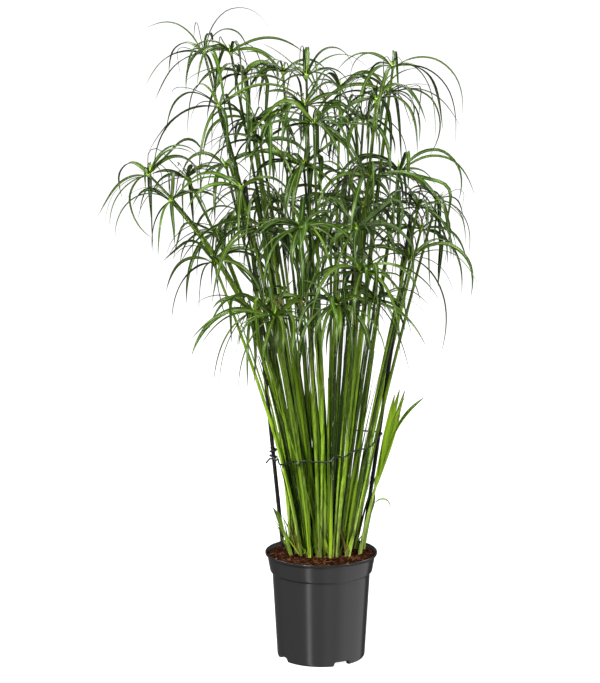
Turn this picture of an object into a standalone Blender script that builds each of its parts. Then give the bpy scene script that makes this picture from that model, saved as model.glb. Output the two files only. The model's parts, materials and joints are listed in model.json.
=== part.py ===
"""Potted cyperus: an umbrella papyrus growing in a plain plastic nursery pot.

Lengths are in metres and angles in degrees. The pot stands on z = 0 with its
axis on the Z axis, and the side that faces the viewer is -Y. Every stem, with
the crown of bracts that grows from its top, is one solid. The stems, the canes
and the young shoots stand on the soil, inside one loop of wire.
"""
import math
import random

import bmesh
import bpy
from mathutils import Matrix, Quaternion, Vector
from mathutils.bvhtree import BVHTree

UP = Vector((0, 0, 1))
GAP = 0.0003

# Pot
POT_HEIGHT = 0.163
LIP_RADIUS = 0.085
BAND_BOTTOM = 0.133
BAND_TOP_RADIUS = 0.082
BAND_LOW_RADIUS = 0.0781
BODY_TOP = 0.1285
BODY_TOP_RADIUS = 0.0743
FOOT_RADIUS = 0.0668
WALL = 0.0017
FLOOR_TOP = 0.0035
DISC_RADIUS = 0.030
FOOT_RING = 0.0108
FOOT_CHAMFER = 0.0028
FOOT_RISE = 0.0045
PLATE_SLOPE = 0.002
PLATE_HEIGHT = 0.0018
LIP_DEPTH = 0.005
LIP_BEVEL = 0.001
POT_SIDES = 26
NOTCH_ANGLES = (28, 118, 208, 298)
NOTCH_WIDTH = 0.024
NOTCH_HEIGHT = 0.0065
NOTCH_DEPTH = 0.024
NOTCH_INSET = 0.0014

# Soil
SOIL_TOP = 0.1575
SOIL_BUMP = 0.0016

# Clump of feet on the soil
CLUMP_CENTRE = Vector((0.006, 0.012))
CLUMP_HALF_X = 0.056
CLUMP_HALF_Y = 0.045
FOOT_PLACES = 64
FOOT_PULL = 0.27
FOOT_TRIES = 16
CROWN_NUDGES = (
    (0, 0, 0), (0, 0.012, 0), (0, -0.012, 0), (0.008, 0, 0), (-0.008, 0, 0),
    (0, 0.024, 0), (0, -0.024, 0), (0.008, 0.016, 0.006), (-0.008, -0.016, 0.006),
)

# Stems
STEM_FOOT_RADIUS = 0.0030
STEM_TOP_RADIUS = 0.0021
HUB_RADIUS = 0.0037
HUB_HEIGHT = 0.0045
CROWN_HEIGHT = 0.0015
STRAIGHT_POWER = 1.15
STRAIGHT_SPREAD = 0.12
BEND_GAIN = 18.0
STEM_STOPS = (0.86, 0.62, 0.32, 0.0)

# Bracts
ARCH_STEPS = 60
DROOP = 1.2
KEEL_DEPTH = 0.28
CLEARANCE = 0.0006
PATH_TRIES = 14
ROOT_SHARE = 0.10
PATH_LOOSE_TURN = 0.7
PATH_LOOSE_DEPTH = 0.6
PATH_LOOSE_RISE = 12
PATH_LOOSE_FALL = 16
DEPTH_MOST = 1.6
DEPTH_SIDE_LEAST = 0.35
SHORTEN_FROM = 0.45
SHORTEN_RATE = 0.6
BUD_CLEAR_FROM = 0.25
LEFT_MOST = -0.324
RIGHT_MOST = 0.221

# Canes and tie
CANE_RADIUS = 0.003
TIE_RADIUS = 0.0009
TIE_HEIGHT_LEFT = 0.304
TIE_HEIGHT_RIGHT = 0.334
TIE_STRETCH = 0.022
TIE_WAVE = 0.0025
TIE_LIFT = 0.006
TIE_OFF = 0.0008
TIE_FRONT = (0.06, 0.42)
TIE_WAVES = 13
COIL_STEPS = 9
COIL_PITCH = 0.0006
COIL_OFF = 0.0003
TIE_TAIL = Vector((-0.0055, -0.0030, -0.0060))

# Lead bracts: (side, rise, fall, reach, width). The side is -1 for a bract that
# leaves to the left, 1 to the right and 0 towards the viewer. It leaves at the
# height angle rise and its tip points at the height angle fall. The reach is
# the length as seen from the front.
# Stems: (x, y, z of the crown, bract length, number of bracts, lead bracts).
STEMS = (
    (-0.173, 0.020, 0.911, 0.085, 10, (
        (1, 84, -66, 0.142, 0.003), (-1, 62, -16, 0.100, 0.004), (1, 72, -84, 0.092, 0.004),
        (1, 8, -40, 0.062, 0.008), (-1, 28, -95, 0.080, 0.007), (-1, 0, -55, 0.092, 0.006),
        (-1, -24, -62, 0.100, 0.005))),
    (-0.132, -0.040, 0.915, 0.085, 8, (
        (-1, 62, 20, 0.042, 0.008), (1, 24, -28, 0.108, 0.005), (1, 5, -20, 0.066, 0.006))),
    (-0.116, 0.060, 0.877, 0.080, 7, (
        (1, 38, -2, 0.066, 0.005), (-1, 20, -60, 0.080, 0.006))),
    (-0.148, -0.080, 0.840, 0.105, 10, (
        (-1, 30, -92, 0.107, 0.005), (-1, -8, -58, 0.116, 0.003), (-1, -10, -94, 0.150, 0.007),
        (-1, 84, 62, 0.062, 0.008), (0, -22, -88, 0.088, 0.008), (1, 32, -30, 0.133, 0.005))),
    (-0.023, -0.020, 0.880, 0.085, 8, (
        (1, 68, -62, 0.090, 0.004), (1, 45, -38, 0.100, 0.004), (1, 25, -98, 0.092, 0.005),
        (0, 82, 78, 0.046, 0.009), (-1, 38, 42, 0.082, 0.004), (-1, -12, -82, 0.062, 0.006))),
    (-0.058, 0.090, 0.880, 0.080, 7, ((-1, 50, 0, 0.070, 0.005), (1, 40, -40, 0.070, 0.005))),
    (-0.026, -0.080, 0.840, 0.085, 8, (
        (-1, 44, -4, 0.062, 0.006), (1, 30, 12, 0.058, 0.007))),
    (-0.013, -0.140, 0.819, 0.095, 10, (
        (-1, 6, -4, 0.080, 0.006), (-1, -16, -44, 0.101, 0.008), (1, -28, -76, 0.090, 0.008),
        (1, -38, -54, 0.096, 0.006), (0, -14, -86, 0.112, 0.009))),
    (0.029, 0.130, 0.854, 0.080, 7, ((1, 40, -30, 0.080, 0.005), (-1, 45, -20, 0.070, 0.005))),
    (0.060, -0.020, 0.817, 0.080, 8, (
        (1, 66, 54, 0.085, 0.006), (-1, 35, 5, 0.068, 0.006), (-1, -4, -10, 0.062, 0.005))),
    (0.100, 0.040, 0.852, 0.095, 10, (
        (1, 8, -58, 0.115, 0.003), (1, 4, -120, 0.060, 0.007), (1, -20, -106, 0.091, 0.006),
        (1, 8, -142, 0.145, 0.005))),
    (0.103, -0.010, 0.893, 0.100, 10, (
        (1, 22, -98, 0.138, 0.004), (1, -12, -92, 0.130, 0.008), (1, -4, -106, 0.160, 0.003),
        (-1, 45, -96, 0.082, 0.005), (-1, 36, -50, 0.088, 0.004))),
    (0.077, -0.070, 0.848, 0.075, 7, ((1, 58, 22, 0.076, 0.005),)),
    (-0.255, 0.000, 0.734, 0.095, 10, (
        (-1, 32, -122, 0.082, 0.008), (-1, -4, -68, 0.100, 0.005), (-1, -20, -78, 0.116, 0.003),
        (0, -44, -90, 0.070, 0.008), (-1, -32, -170, 0.112, 0.004), (1, 68, -60, 0.104, 0.005),
        (1, 58, -8, 0.084, 0.006))),
    (-0.202, 0.060, 0.724, 0.080, 7, ((-1, 30, -10, 0.052, 0.006), (1, 40, -20, 0.070, 0.006))),
    (-0.219, -0.060, 0.702, 0.080, 8, (
        (-1, -48, -95, 0.074, 0.008), (0, -50, -80, 0.064, 0.006), (-1, 30, -60, 0.070, 0.006))),
    (-0.142, 0.030, 0.744, 0.085, 8, (
        (-1, 45, -82, 0.082, 0.006), (1, 40, -6, 0.056, 0.007), (-1, 2, -30, 0.030, 0.006))),
    (-0.101, 0.000, 0.812, 0.075, 7, ()),
    (-0.089, -0.090, 0.790, 0.080, 8, (
        (1, 72, 40, 0.060, 0.008), (1, 8, -50, 0.078, 0.007), (-1, 20, -50, 0.080, 0.006))),
    (-0.027, -0.120, 0.758, 0.080, 8, (
        (1, 66, 60, 0.048, 0.004), (-1, 14, -40, 0.080, 0.006), (0, -20, -80, 0.090, 0.008))),
    (-0.067, 0.120, 0.681, 0.080, 7, ()),
    (-0.117, 0.080, 0.669, 0.080, 7, ()),
    (-0.086, -0.120, 0.667, 0.095, 9, (
        (-1, -22, -86, 0.100, 0.009), (1, 20, -40, 0.080, 0.006), (0, -10, -80, 0.090, 0.007))),
    (-0.160, -0.030, 0.609, 0.085, 8, (
        (-1, 8, -82, 0.090, 0.006), (-1, -24, -92, 0.104, 0.008), (0, -10, -100, 0.090, 0.006),
        (0, -50, -80, 0.046, 0.005), (-1, 60, 20, 0.040, 0.004))),
    (-0.158, 0.120, 0.632, 0.080, 7, ()),
    (-0.031, -0.170, 0.676, 0.080, 8, ((-1, 10, -30, 0.070, 0.007), (1, 10, -50, 0.080, 0.007))),
    (-0.050, 0.080, 0.632, 0.080, 7, ()),
    (0.049, -0.120, 0.668, 0.085, 8, ((1, 15, -60, 0.090, 0.008), (0, -10, -80, 0.080, 0.008))),
    (0.060, -0.030, 0.688, 0.080, 7, ()),
    (0.054, -0.150, 0.611, 0.085, 8, ((-1, 10, -60, 0.085, 0.008), (0, -30, -86, 0.080, 0.007))),
    (-0.069, -0.150, 0.546, 0.085, 8, (
        (1, 72, 60, 0.062, 0.008), (1, 6, -20, 0.050, 0.006), (-1, 10, -40, 0.121, 0.006),
        (0, -40, -86, 0.064, 0.009))),
    (-0.102, -0.080, 0.542, 0.085, 8, (
        (-1, -44, -84, 0.116, 0.006), (0, -48, -84, 0.104, 0.006), (-1, -28, -48, 0.095, 0.005))),
    (0.075, -0.120, 0.563, 0.075, 8, (
        (1, 8, -4, 0.070, 0.004), (1, -24, -36, 0.080, 0.008), (1, 26, -46, 0.084, 0.003),
        (1, -55, -75, 0.110, 0.005))),
    (0.128, -0.080, 0.621, 0.095, 10, (
        (1, 42, -112, 0.128, 0.007), (1, 22, -16, 0.078, 0.006), (1, -20, -74, 0.098, 0.003),
        (1, -42, -112, 0.150, 0.007), (-1, 45, 4, 0.074, 0.005), (1, 26, -50, 0.098, 0.004))),
    (0.113, -0.040, 0.743, 0.100, 10, (
        (1, 50, -122, 0.140, 0.006), (1, 38, -84, 0.138, 0.005), (1, -4, -55, 0.066, 0.005),
        (1, 78, 70, 0.040, 0.006))),
    (0.068, -0.100, 0.739, 0.080, 8, ()),
    (0.043, 0.080, 0.720, 0.080, 7, ()),
    (0.171, 0.020, 0.695, 0.085, 8, (
        (1, -20, -96, 0.068, 0.005), (1, -22, -108, 0.098, 0.003), (0, -50, -90, 0.056, 0.007),
        (1, -5, -80, 0.076, 0.006))),
    (0.151, 0.080, 0.643, 0.080, 8, ((1, 10, -80, 0.085, 0.006),)),
    (0.113, 0.140, 0.677, 0.080, 7, ()),
    (0.139, -0.060, 0.693, 0.075, 7, ((1, 12, -50, 0.070, 0.006),)),
    (0.020, -0.160, 0.565, 0.075, 7, ((-1, 48, 18, 0.066, 0.005), (0, -30, -80, 0.070, 0.007))),
    (0.030, 0.160, 0.672, 0.080, 7, ()),
    (0.014, 0.030, 0.634, 0.075, 7, ()),
    (-0.117, -0.070, 0.722, 0.080, 8, ((-1, 15, -60, 0.085, 0.007),)),
)

# Young shoots: (name, foot, top, length of the closed bud, number of sides, lead bracts).
SHOOTS = (
    ("shoot_right", (0.058, -0.006), (0.086, -0.003, 0.281), 0.142, 8, (
        (1, 75, 55, 0.144, 0.007), (1, 76, 64, 0.140, 0.006))),
    ("shoot_left", (-0.046, -0.012), (-0.060, -0.014, 0.206), 0.030, 6, ()),
    ("shoot_low", (0.064, 0.020), (0.078, 0.020, 0.232), 0.022, 6, (
        (1, 30, -80, 0.034, 0.004), (-1, 40, 30, 0.030, 0.004))),
)

# Canes: (name, foot, top)
CANES = (
    ("cane_left", (-0.058, 0.028), (-0.1145, 0.050, 0.722)),
    ("cane_right", (0.063, 0.034), (0.133, 0.030, 0.668)),
)


def clear_scene():
    """Remove every object, so that only this model is left."""
    for thing in list(bpy.data.objects):
        bpy.data.objects.remove(thing, do_unlink=True)


def make_collection(name):
    """Return a new collection, linked to the scene."""
    collection = bpy.data.collections.new(name)
    bpy.context.scene.collection.children.link(collection)
    return collection


def make_material(name, colour, roughness, metallic=0.0):
    """Return a Principled material with a plain colour."""
    material = bpy.data.materials.new(name)
    material.use_nodes = True
    shader = material.node_tree.nodes["Principled BSDF"]
    shader.inputs["Base Color"].default_value = (*colour, 1)
    shader.inputs["Roughness"].default_value = roughness
    shader.inputs["Metallic"].default_value = metallic
    return material


def make_object(name, mesh_source, collection, material):
    """Turn a bmesh into a named object with its material."""
    mesh = bpy.data.meshes.new(name)
    mesh_source.to_mesh(mesh)
    mesh_source.free()
    mesh.materials.append(material)
    thing = bpy.data.objects.new(name, mesh)
    collection.objects.link(thing)
    return thing


# Pot

def pot_profile():
    """Corners of the wall, from the middle of the inner floor to the underside."""
    inner_body = BODY_TOP_RADIUS - WALL
    return (
        (0, FLOOR_TOP),
        (FOOT_RADIUS - WALL, FLOOR_TOP),
        (inner_body, BODY_TOP + LIP_BEVEL),
        (BAND_LOW_RADIUS - WALL, BAND_BOTTOM + LIP_BEVEL),
        (BAND_TOP_RADIUS - WALL, POT_HEIGHT - 0.6 * LIP_BEVEL),
        (BAND_TOP_RADIUS, POT_HEIGHT),
        (LIP_RADIUS, POT_HEIGHT - LIP_BEVEL),
        (LIP_RADIUS, POT_HEIGHT - 3 * LIP_BEVEL),
        (BAND_TOP_RADIUS, POT_HEIGHT - LIP_DEPTH),
        (BAND_LOW_RADIUS, BAND_BOTTOM),
        (BODY_TOP_RADIUS, BODY_TOP),
        (FOOT_RADIUS, FOOT_RISE),
        (FOOT_RADIUS - FOOT_CHAMFER, 0),
        (FOOT_RADIUS - FOOT_RING, 0),
        (FOOT_RADIUS - FOOT_RING - PLATE_SLOPE, PLATE_HEIGHT),
        (DISC_RADIUS + PLATE_SLOPE, PLATE_HEIGHT),
        (DISC_RADIUS, 0),
        (0, 0),
    )


def build_pot(collection, cutters, material):
    """Turn the pot and cut the four drain notches through its foot."""
    profile = pot_profile()
    mesh = bpy.data.meshes.new("pot")
    edges = [(i, i + 1) for i in range(len(profile) - 1)]
    mesh.from_pydata([(radius, 0, height) for radius, height in profile], edges, [])
    mesh.materials.append(material)
    pot = bpy.data.objects.new("pot", mesh)
    collection.objects.link(pot)
    turn = pot.modifiers.new("turn", "SCREW")
    turn.steps = POT_SIDES
    turn.render_steps = POT_SIDES
    turn.use_merge_vertices = True
    turn.merge_threshold = 0.00001
    for number, degrees in enumerate(NOTCH_ANGLES):
        angle = math.radians(degrees)
        outward = Vector((math.sin(angle), -math.cos(angle), 0))
        bpy.ops.mesh.primitive_cube_add(size=1)
        cutter = bpy.context.object
        cutter.name = f"notch_cutter_{number + 1}"
        cutter.scale = (NOTCH_WIDTH, NOTCH_DEPTH, 2 * NOTCH_HEIGHT)
        cutter.location = outward * (FOOT_RADIUS - NOTCH_INSET)
        cutter.rotation_euler.z = angle
        cutter.hide_render = True
        cutter.display_type = "WIRE"
        for holder in list(cutter.users_collection):
            holder.objects.unlink(cutter)
        cutters.objects.link(cutter)
        cut = pot.modifiers.new("notch", "BOOLEAN")
        cut.operation = "DIFFERENCE"
        cut.object = cutter
    return pot


# Soil

def soil_height(x, y):
    """Height of the soil's uneven top at a place."""
    ripple = math.sin(95 * x + 1.3) * math.cos(110 * y - 0.4) + 0.6 * math.sin(170 * x - 140 * y)
    mound = 0.0015 * (1 - (x * x + y * y) / 0.0064)
    return SOIL_TOP + mound + SOIL_BUMP * ripple


def build_soil(collection, material):
    """Turn the plug of soil inside the pot and return it with a tree for resting on."""
    facet = math.cos(math.pi / POT_SIDES)
    band_slope = (BAND_TOP_RADIUS - BAND_LOW_RADIUS) / (POT_HEIGHT - BAND_BOTTOM)
    top_radius = BAND_LOW_RADIUS - WALL + band_slope * (SOIL_TOP - 0.004 - BAND_BOTTOM)
    profile = (
        (0, SOIL_TOP),
        (0.020, SOIL_TOP),
        (0.040, SOIL_TOP),
        (0.060, SOIL_TOP),
        (top_radius * facet - GAP, SOIL_TOP - 0.004),
        ((BAND_LOW_RADIUS - WALL) * facet - GAP, BAND_BOTTOM + 0.002),
        ((BODY_TOP_RADIUS - WALL) * facet - GAP, BODY_TOP + 0.001),
        ((FOOT_RADIUS - WALL) * facet - GAP, FLOOR_TOP + GAP),
        (0, FLOOR_TOP + GAP),
    )
    shape = bmesh.new()
    corners = [shape.verts.new((radius, 0, height)) for radius, height in profile]
    edges = [shape.edges.new(pair) for pair in zip(corners, corners[1:])]
    bmesh.ops.spin(shape, geom=corners + edges, cent=(0, 0, 0), axis=(0, 0, 1),
                   angle=2 * math.pi, steps=POT_SIDES)
    bmesh.ops.remove_doubles(shape, verts=shape.verts, dist=0.00001)
    for corner in shape.verts:
        if corner.co.z > SOIL_TOP - 0.001:
            corner.co.z = soil_height(corner.co.x, corner.co.y)
    bmesh.ops.recalc_face_normals(shape, faces=shape.faces)
    bmesh.ops.triangulate(shape, faces=shape.faces)
    tree = BVHTree.FromBMesh(shape)
    return make_object("soil", shape, collection, material), tree


def rest_height(tree, place, radius):
    """Height at which a flat foot of this radius clears the soil by the gap."""
    highest = 0.0
    for turn in range(9):
        angle = turn * math.pi / 4
        reach = radius if turn < 8 else 0
        start = Vector((place[0] + reach * math.cos(angle), place[1] + reach * math.sin(angle), 1))
        hit = tree.ray_cast(start, -UP)[0]
        highest = max(highest, hit.z)
    return highest + GAP


# Room taken by the pieces, so that no leaf runs through another

class Room:
    """The shapes placed so far, each with its owner and its box."""

    def __init__(self):
        self.shapes = []

    @staticmethod
    def measure(corners, faces):
        low = [min(c[i] for c in corners) for i in range(3)]
        high = [max(c[i] for c in corners) for i in range(3)]
        return low, high, BVHTree.FromPolygons(corners, faces)

    def is_free(self, shape, owner):
        """True where the shape meets nothing but the hub that it grows from."""
        low, high, tree = shape
        for other_owner, is_hub, (other_low, other_high, other_tree) in self.shapes:
            if is_hub and other_owner == owner:
                continue
            if any(low[i] > other_high[i] or high[i] < other_low[i] for i in range(3)):
                continue
            if tree.overlap(other_tree):
                return False
        return True

    def take(self, shape, owner, is_hub=False):
        self.shapes.append((owner, is_hub, shape))


def tube_shape(points, radii, sides=8):
    """Corners and faces of a plain tube along points, for testing room."""
    corners = []
    for point, radius in zip(points, radii):
        for side in range(sides):
            angle = 2 * math.pi * side / sides
            corners.append(point + Vector((math.cos(angle), math.sin(angle), 0)) * radius)
    faces = [tuple(range(sides)), tuple(len(corners) - 1 - side for side in range(sides))]
    for ring in range(len(points) - 1):
        for side in range(sides):
            first = ring * sides + side
            second = ring * sides + (side + 1) % sides
            faces.append((first, second, second + sides, first + sides))
    return corners, faces


# Bracts

def arch(start, flat, rise, fall, length):
    """Places and directions along a bract.

    Its height angle falls from rise to fall as the power DROOP of the share of
    the length that is covered.
    """
    places = [start.copy()]
    aheads = []
    step = length / ARCH_STEPS
    for k in range(ARCH_STEPS + 1):
        angle = math.radians(rise + (fall - rise) * (k / ARCH_STEPS) ** DROOP)
        ahead = flat * math.cos(angle) + UP * math.sin(angle)
        aheads.append(ahead.normalized())
        places.append(places[-1] + ahead * step)
    return places[:-1], aheads


def bract_sections(path, width, sweep, margin=0.0):
    """Left edge, right edge and keel of each section, and the tip."""
    places, aheads = path
    count = 3 if sweep < 118 else 4
    flat = Vector((aheads[0].x, aheads[0].y, 0))
    if flat.length < 0.02:
        flat = Vector((places[-1].x - places[0].x, places[-1].y - places[0].y, 0))
    across = flat.cross(UP).normalized()
    sections = []
    for number in range(1, count):
        share = (number / count) ** 1.1
        k = round(share * ARCH_STEPS)
        half = width / 2 * math.sqrt(1 - share * share * 0.75) + margin
        above = across.cross(aheads[k])
        keel = width * KEEL_DEPTH * (1 - 0.5 * share) + margin
        place = places[k] + above * margin
        sections.append((place - across * half, place + across * half, places[k] - above * keel))
    return sections, places[-1]


def root_kinds(face, axis, across):
    """Which corner of a blade each corner of the hub's side becomes.

    The upper two become the left (0) and right (1) edge, the lower two the keel (2).
    """
    corners = [corner.co for corner in face.verts]
    upper = sorted(range(4), key=lambda index: corners[index].dot(axis))[2:]
    right = max(upper, key=lambda index: corners[index].dot(across))
    return [2 if index not in upper else int(index == right) for index in range(4)]


def bract_room(path, width, sweep, face, axis):
    """The shape that a bract takes up, a little larger than the bract."""
    places, aheads = path
    sections, tip = bract_sections(path, width, sweep, CLEARANCE)
    kinds = root_kinds(face, axis, sections[0][1] - sections[0][0])
    corners = []
    for kind in range(3):
        roots = [corner.co for corner, own in zip(face.verts, kinds) if own == kind]
        root = sum(roots, Vector()) / len(roots)
        corners.append(root.lerp(sections[0][kind], ROOT_SHARE))
    for section in sections:
        corners.extend(section)
    corners.append(tip + aheads[-1] * CLEARANCE)
    faces = [(0, 1, 2)]
    for first in range(0, 3 * len(sections), 3):
        for a, b in ((0, 1), (1, 2), (2, 0)):
            faces.append((first + a, first + b, first + 3 + b, first + 3 + a))
    last = 3 * len(sections)
    for a, b in ((0, 1), (1, 2), (2, 0)):
        faces.append((last + a, last + b, last + 3))
    return Room.measure(corners, faces)


def pull(shape, face, places):
    """Extrude a face and set its corners at the places, in their order."""
    pulled = bmesh.ops.extrude_discrete_faces(shape, faces=[face])["faces"][0]
    for corner, place in zip(pulled.verts, places):
        corner.co = place
    return pulled


def grow_bract(shape, face, axis, path, width, sweep):
    """Pull one side of the hub out into a keeled blade that ends in a point."""
    sections, tip = bract_sections(path, width, sweep)
    kinds = root_kinds(face, axis, sections[0][1] - sections[0][0])
    for section in sections:
        face = pull(shape, face, [section[kind] for kind in kinds])
    pull(shape, face, [tip] * len(kinds))


def crosses_itself(shape):
    """True where faces that share no corner run through each other."""
    copy = shape.copy()
    bmesh.ops.triangulate(copy, faces=copy.faces)
    copy.faces.ensure_lookup_table()
    tree = BVHTree.FromBMesh(copy)
    corners = [set(face.verts) for face in copy.faces]
    crossing = any(not corners[a] & corners[b] for a, b in tree.overlap(tree))
    copy.free()
    return crossing


def path_choices(start, slot, lead, chance):
    """The ways a lead bract may grow: as drawn, then turned, then shortened."""
    side, rise, fall, reach, width = lead
    for attempt in range(PATH_TRIES):
        loose = attempt / PATH_TRIES
        if side == 0:
            drift = loose * chance.uniform(-PATH_LOOSE_TURN, PATH_LOOSE_TURN)
            turn = math.atan2(slot.y, slot.x) + drift
            flat = Vector((math.cos(turn), math.sin(turn), 0))
        else:
            depth = slot.y / max(abs(slot.x), DEPTH_SIDE_LEAST)
            depth = max(-DEPTH_MOST, min(DEPTH_MOST, depth))
            depth += loose * chance.uniform(-PATH_LOOSE_DEPTH, PATH_LOOSE_DEPTH)
            flat = Vector((side, depth, 0))
        start_angle = rise + loose * chance.uniform(-PATH_LOOSE_RISE, PATH_LOOSE_RISE)
        end_angle = fall + loose * chance.uniform(-PATH_LOOSE_FALL, PATH_LOOSE_FALL)
        length = reach * (1 - SHORTEN_RATE * max(0, loose - SHORTEN_FROM))
        path = arch(start, flat, start_angle, end_angle, length)
        yield path, width, abs(end_angle - start_angle)


def within_width(path):
    """True where a bract stays between the plant's left and right ends."""
    return all(LEFT_MOST < place.x < RIGHT_MOST for place in path[0])


def place_bract(shape, face, axis, slot, lead, room, owner, chance):
    """Grow a bract the first way that runs into nothing, or leave its side bare."""
    root = list(face.verts)
    older = set(shape.verts)
    for choice in path_choices(face.calc_center_median(), slot, lead, chance):
        taken = bract_room(*choice, face, axis)
        if not room.is_free(taken, owner) or not within_width(choice[0]):
            continue
        grow_bract(shape, face, axis, *choice)
        if not crosses_itself(shape):
            room.take(taken, owner)
            return
        newer = [corner for corner in shape.verts if corner not in older]
        bmesh.ops.delete(shape, geom=newer, context="VERTS")
        face = shape.faces.new(root)


def random_lead(slot, axis, length, chance):
    """A bract with no special part in the outline, which arches over."""
    lift = math.radians(chance.uniform(-5, 45))
    away = slot * math.cos(lift) + axis * math.sin(lift)
    flat = Vector((away.x, away.y, 0)).normalized()
    rise = math.degrees(math.asin(max(-1, min(1, away.z))))
    fall = max(rise - chance.uniform(60, 130), -97)
    width = chance.choice((0.004, 0.005, 0.006, 0.007, 0.008))
    return flat, (0, rise, fall, length * chance.uniform(1.0, 1.65), width)


# Stems

def stem_point(foot, top, share):
    """A place on the stem: it stands up first and leans out more and more."""
    spread = math.hypot(top.x - foot.x, top.y - foot.y)
    power = STRAIGHT_POWER + BEND_GAIN * max(0, spread - STRAIGHT_SPREAD)
    out = share ** power
    return Vector((
        foot.x + (top.x - foot.x) * out,
        foot.y + (top.y - foot.y) * out,
        foot.z + (top.z - foot.z) * share,
    ))


def stem_chord(foot, top, share):
    """A place on the straight runs between the stem's sections."""
    low = max(stop for stop in STEM_STOPS if stop <= share)
    high = min((1.0, *STEM_STOPS), key=lambda stop: stop - low if stop > low else 2)
    mix = (share - low) / (high - low)
    return stem_point(foot, top, low).lerp(stem_point(foot, top, high), mix)


def stem_radius(share):
    """The stem's radius, thicker at its foot."""
    return STEM_FOOT_RADIUS + (STEM_TOP_RADIUS - STEM_FOOT_RADIUS) * share


def stem_direction(foot, top, share):
    """The way the stem points at a place."""
    return (stem_point(foot, top, share + 0.01) - stem_point(foot, top, share - 0.01)).normalized()


def stem_room(foot, top, margin):
    """The shape that a stem takes up: it widens into its hub at the top."""
    points = [top] + [stem_point(foot, top, share) for share in STEM_STOPS]
    radii = [HUB_RADIUS + margin] + [stem_radius(share) + margin for share in STEM_STOPS]
    return Room.measure(*tube_shape(points, radii))


def choose_bracts(sides, leads, length, axis, chance):
    """Give each lead the side of the hub that faces its way, and fill the others."""
    free = {face: Vector((face.normal.x, face.normal.y, 0)).normalized() for face in sides}
    chosen = []
    for lead in sorted(leads, key=lambda item: -item[3]):
        wanted = Vector((lead[0], 0, 0)) if lead[0] else Vector((0, -1, 0))
        face = max(free, key=lambda item: free[item].dot(wanted))
        chosen.append((face, free.pop(face), lead))
    if length:
        for face in list(free):
            flat, lead = random_lead(face.normal.copy(), axis, length, chance)
            chosen.append((face, flat, lead))
    return chosen


def grow_stem(name, foot, top, bud, count, length, leads, room, chance):
    """One stem: a hub with bracts pulled from its sides and a stem from its base.

    A bract length of 0 leaves the sides bare that have no lead.
    """
    axis = stem_direction(foot, top, 1.0)
    turn = UP.rotation_difference(axis).to_matrix().to_4x4()
    spin = Matrix.Rotation(chance.uniform(0, 2 * math.pi / count), 4, "Z")
    place = Matrix.Translation(top) @ turn @ spin
    shape = bmesh.new()
    bmesh.ops.create_cone(shape, cap_ends=True, segments=count, radius1=HUB_RADIUS * 0.85,
                          radius2=HUB_RADIUS, depth=HUB_HEIGHT, matrix=place)
    sides = [face for face in shape.faces if len(face.verts) == 4 and abs(face.normal.dot(axis)) < 0.5]
    caps = [face for face in shape.faces if face not in sides]
    base = min(caps, key=lambda face: face.calc_center_median().dot(axis))
    crown = max(caps, key=lambda face: face.calc_center_median().dot(axis))

    for face, slot, lead in choose_bracts(sides, leads, length, axis, chance):
        place_bract(shape, face, axis, slot, lead, room, name, chance)

    lift_out = place.inverted()
    angles = [math.atan2(*(lift_out @ corner.co).yx) for corner in base.verts]
    order = sorted(range(count), key=lambda index: angles[index])
    shared = [0.0] * count
    for place_in_ring, index in enumerate(order):
        shared[index] = angles[order[0]] + math.radians(120) * (place_in_ring * 3 // count)
    for share in STEM_STOPS:
        bend = UP.rotation_difference(stem_direction(foot, top, share)) if share else Quaternion()
        point = stem_point(foot, top, share)
        ring = []
        for angle in shared:
            arm = spin @ Vector((math.cos(angle), math.sin(angle), 0))
            ring.append(point + bend @ arm * stem_radius(share))
        base = pull(shape, base, ring)

    poked = bmesh.ops.poke(shape, faces=[crown])["verts"][0]
    poked.co += axis * bud
    bmesh.ops.remove_doubles(shape, verts=shape.verts, dist=0.00002)
    bmesh.ops.recalc_face_normals(shape, faces=shape.faces)
    return shape


def bud_room(foot, top, bud):
    """The shape kept free around a shoot's closed bud, above its bracts' roots."""
    tip = top + stem_direction(foot, top, 1.0) * (bud + HUB_HEIGHT / 2)
    low = top.lerp(tip, BUD_CLEAR_FROM)
    radius = HUB_RADIUS * (1 - BUD_CLEAR_FROM) + CLEARANCE
    return Room.measure(*tube_shape((low, tip), (radius, CLEARANCE)))


def hub_room(top):
    """The shape kept free around a crown's hub, for the roots of its bracts."""
    return Room.measure(*tube_shape((top - UP * 0.009, top + UP * 0.008), (0.008, 0.008)))


def foot_places():
    """Places for the feet, spread evenly over the clump by the golden angle."""
    golden = math.pi * (3 - math.sqrt(5))
    places = []
    for k in range(FOOT_PLACES):
        reach = math.sqrt((k + 0.5) / FOOT_PLACES)
        x = CLUMP_CENTRE.x + CLUMP_HALF_X * reach * math.cos(k * golden)
        y = CLUMP_CENTRE.y + CLUMP_HALF_Y * reach * math.sin(k * golden)
        places.append(Vector((x, y)))
    return places


def find_stand(room, soil_tree, places, crown):
    """The first foot and crown place where a stem and its hub meet nothing."""
    for nudge in CROWN_NUDGES:
        top = crown + Vector(nudge)
        hub = hub_room(top)
        if not room.is_free(hub, None):
            continue
        wish = CLUMP_CENTRE + top.xy * FOOT_PULL
        for place in sorted(places, key=lambda spot: (spot - wish).length)[:FOOT_TRIES]:
            foot = Vector((*place, rest_height(soil_tree, place, STEM_FOOT_RADIUS)))
            stem = stem_room(foot, top, CLEARANCE)
            if room.is_free(stem, None):
                return place, foot, top, stem, hub
    raise ValueError(f"no room for the crown at {crown}")


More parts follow.
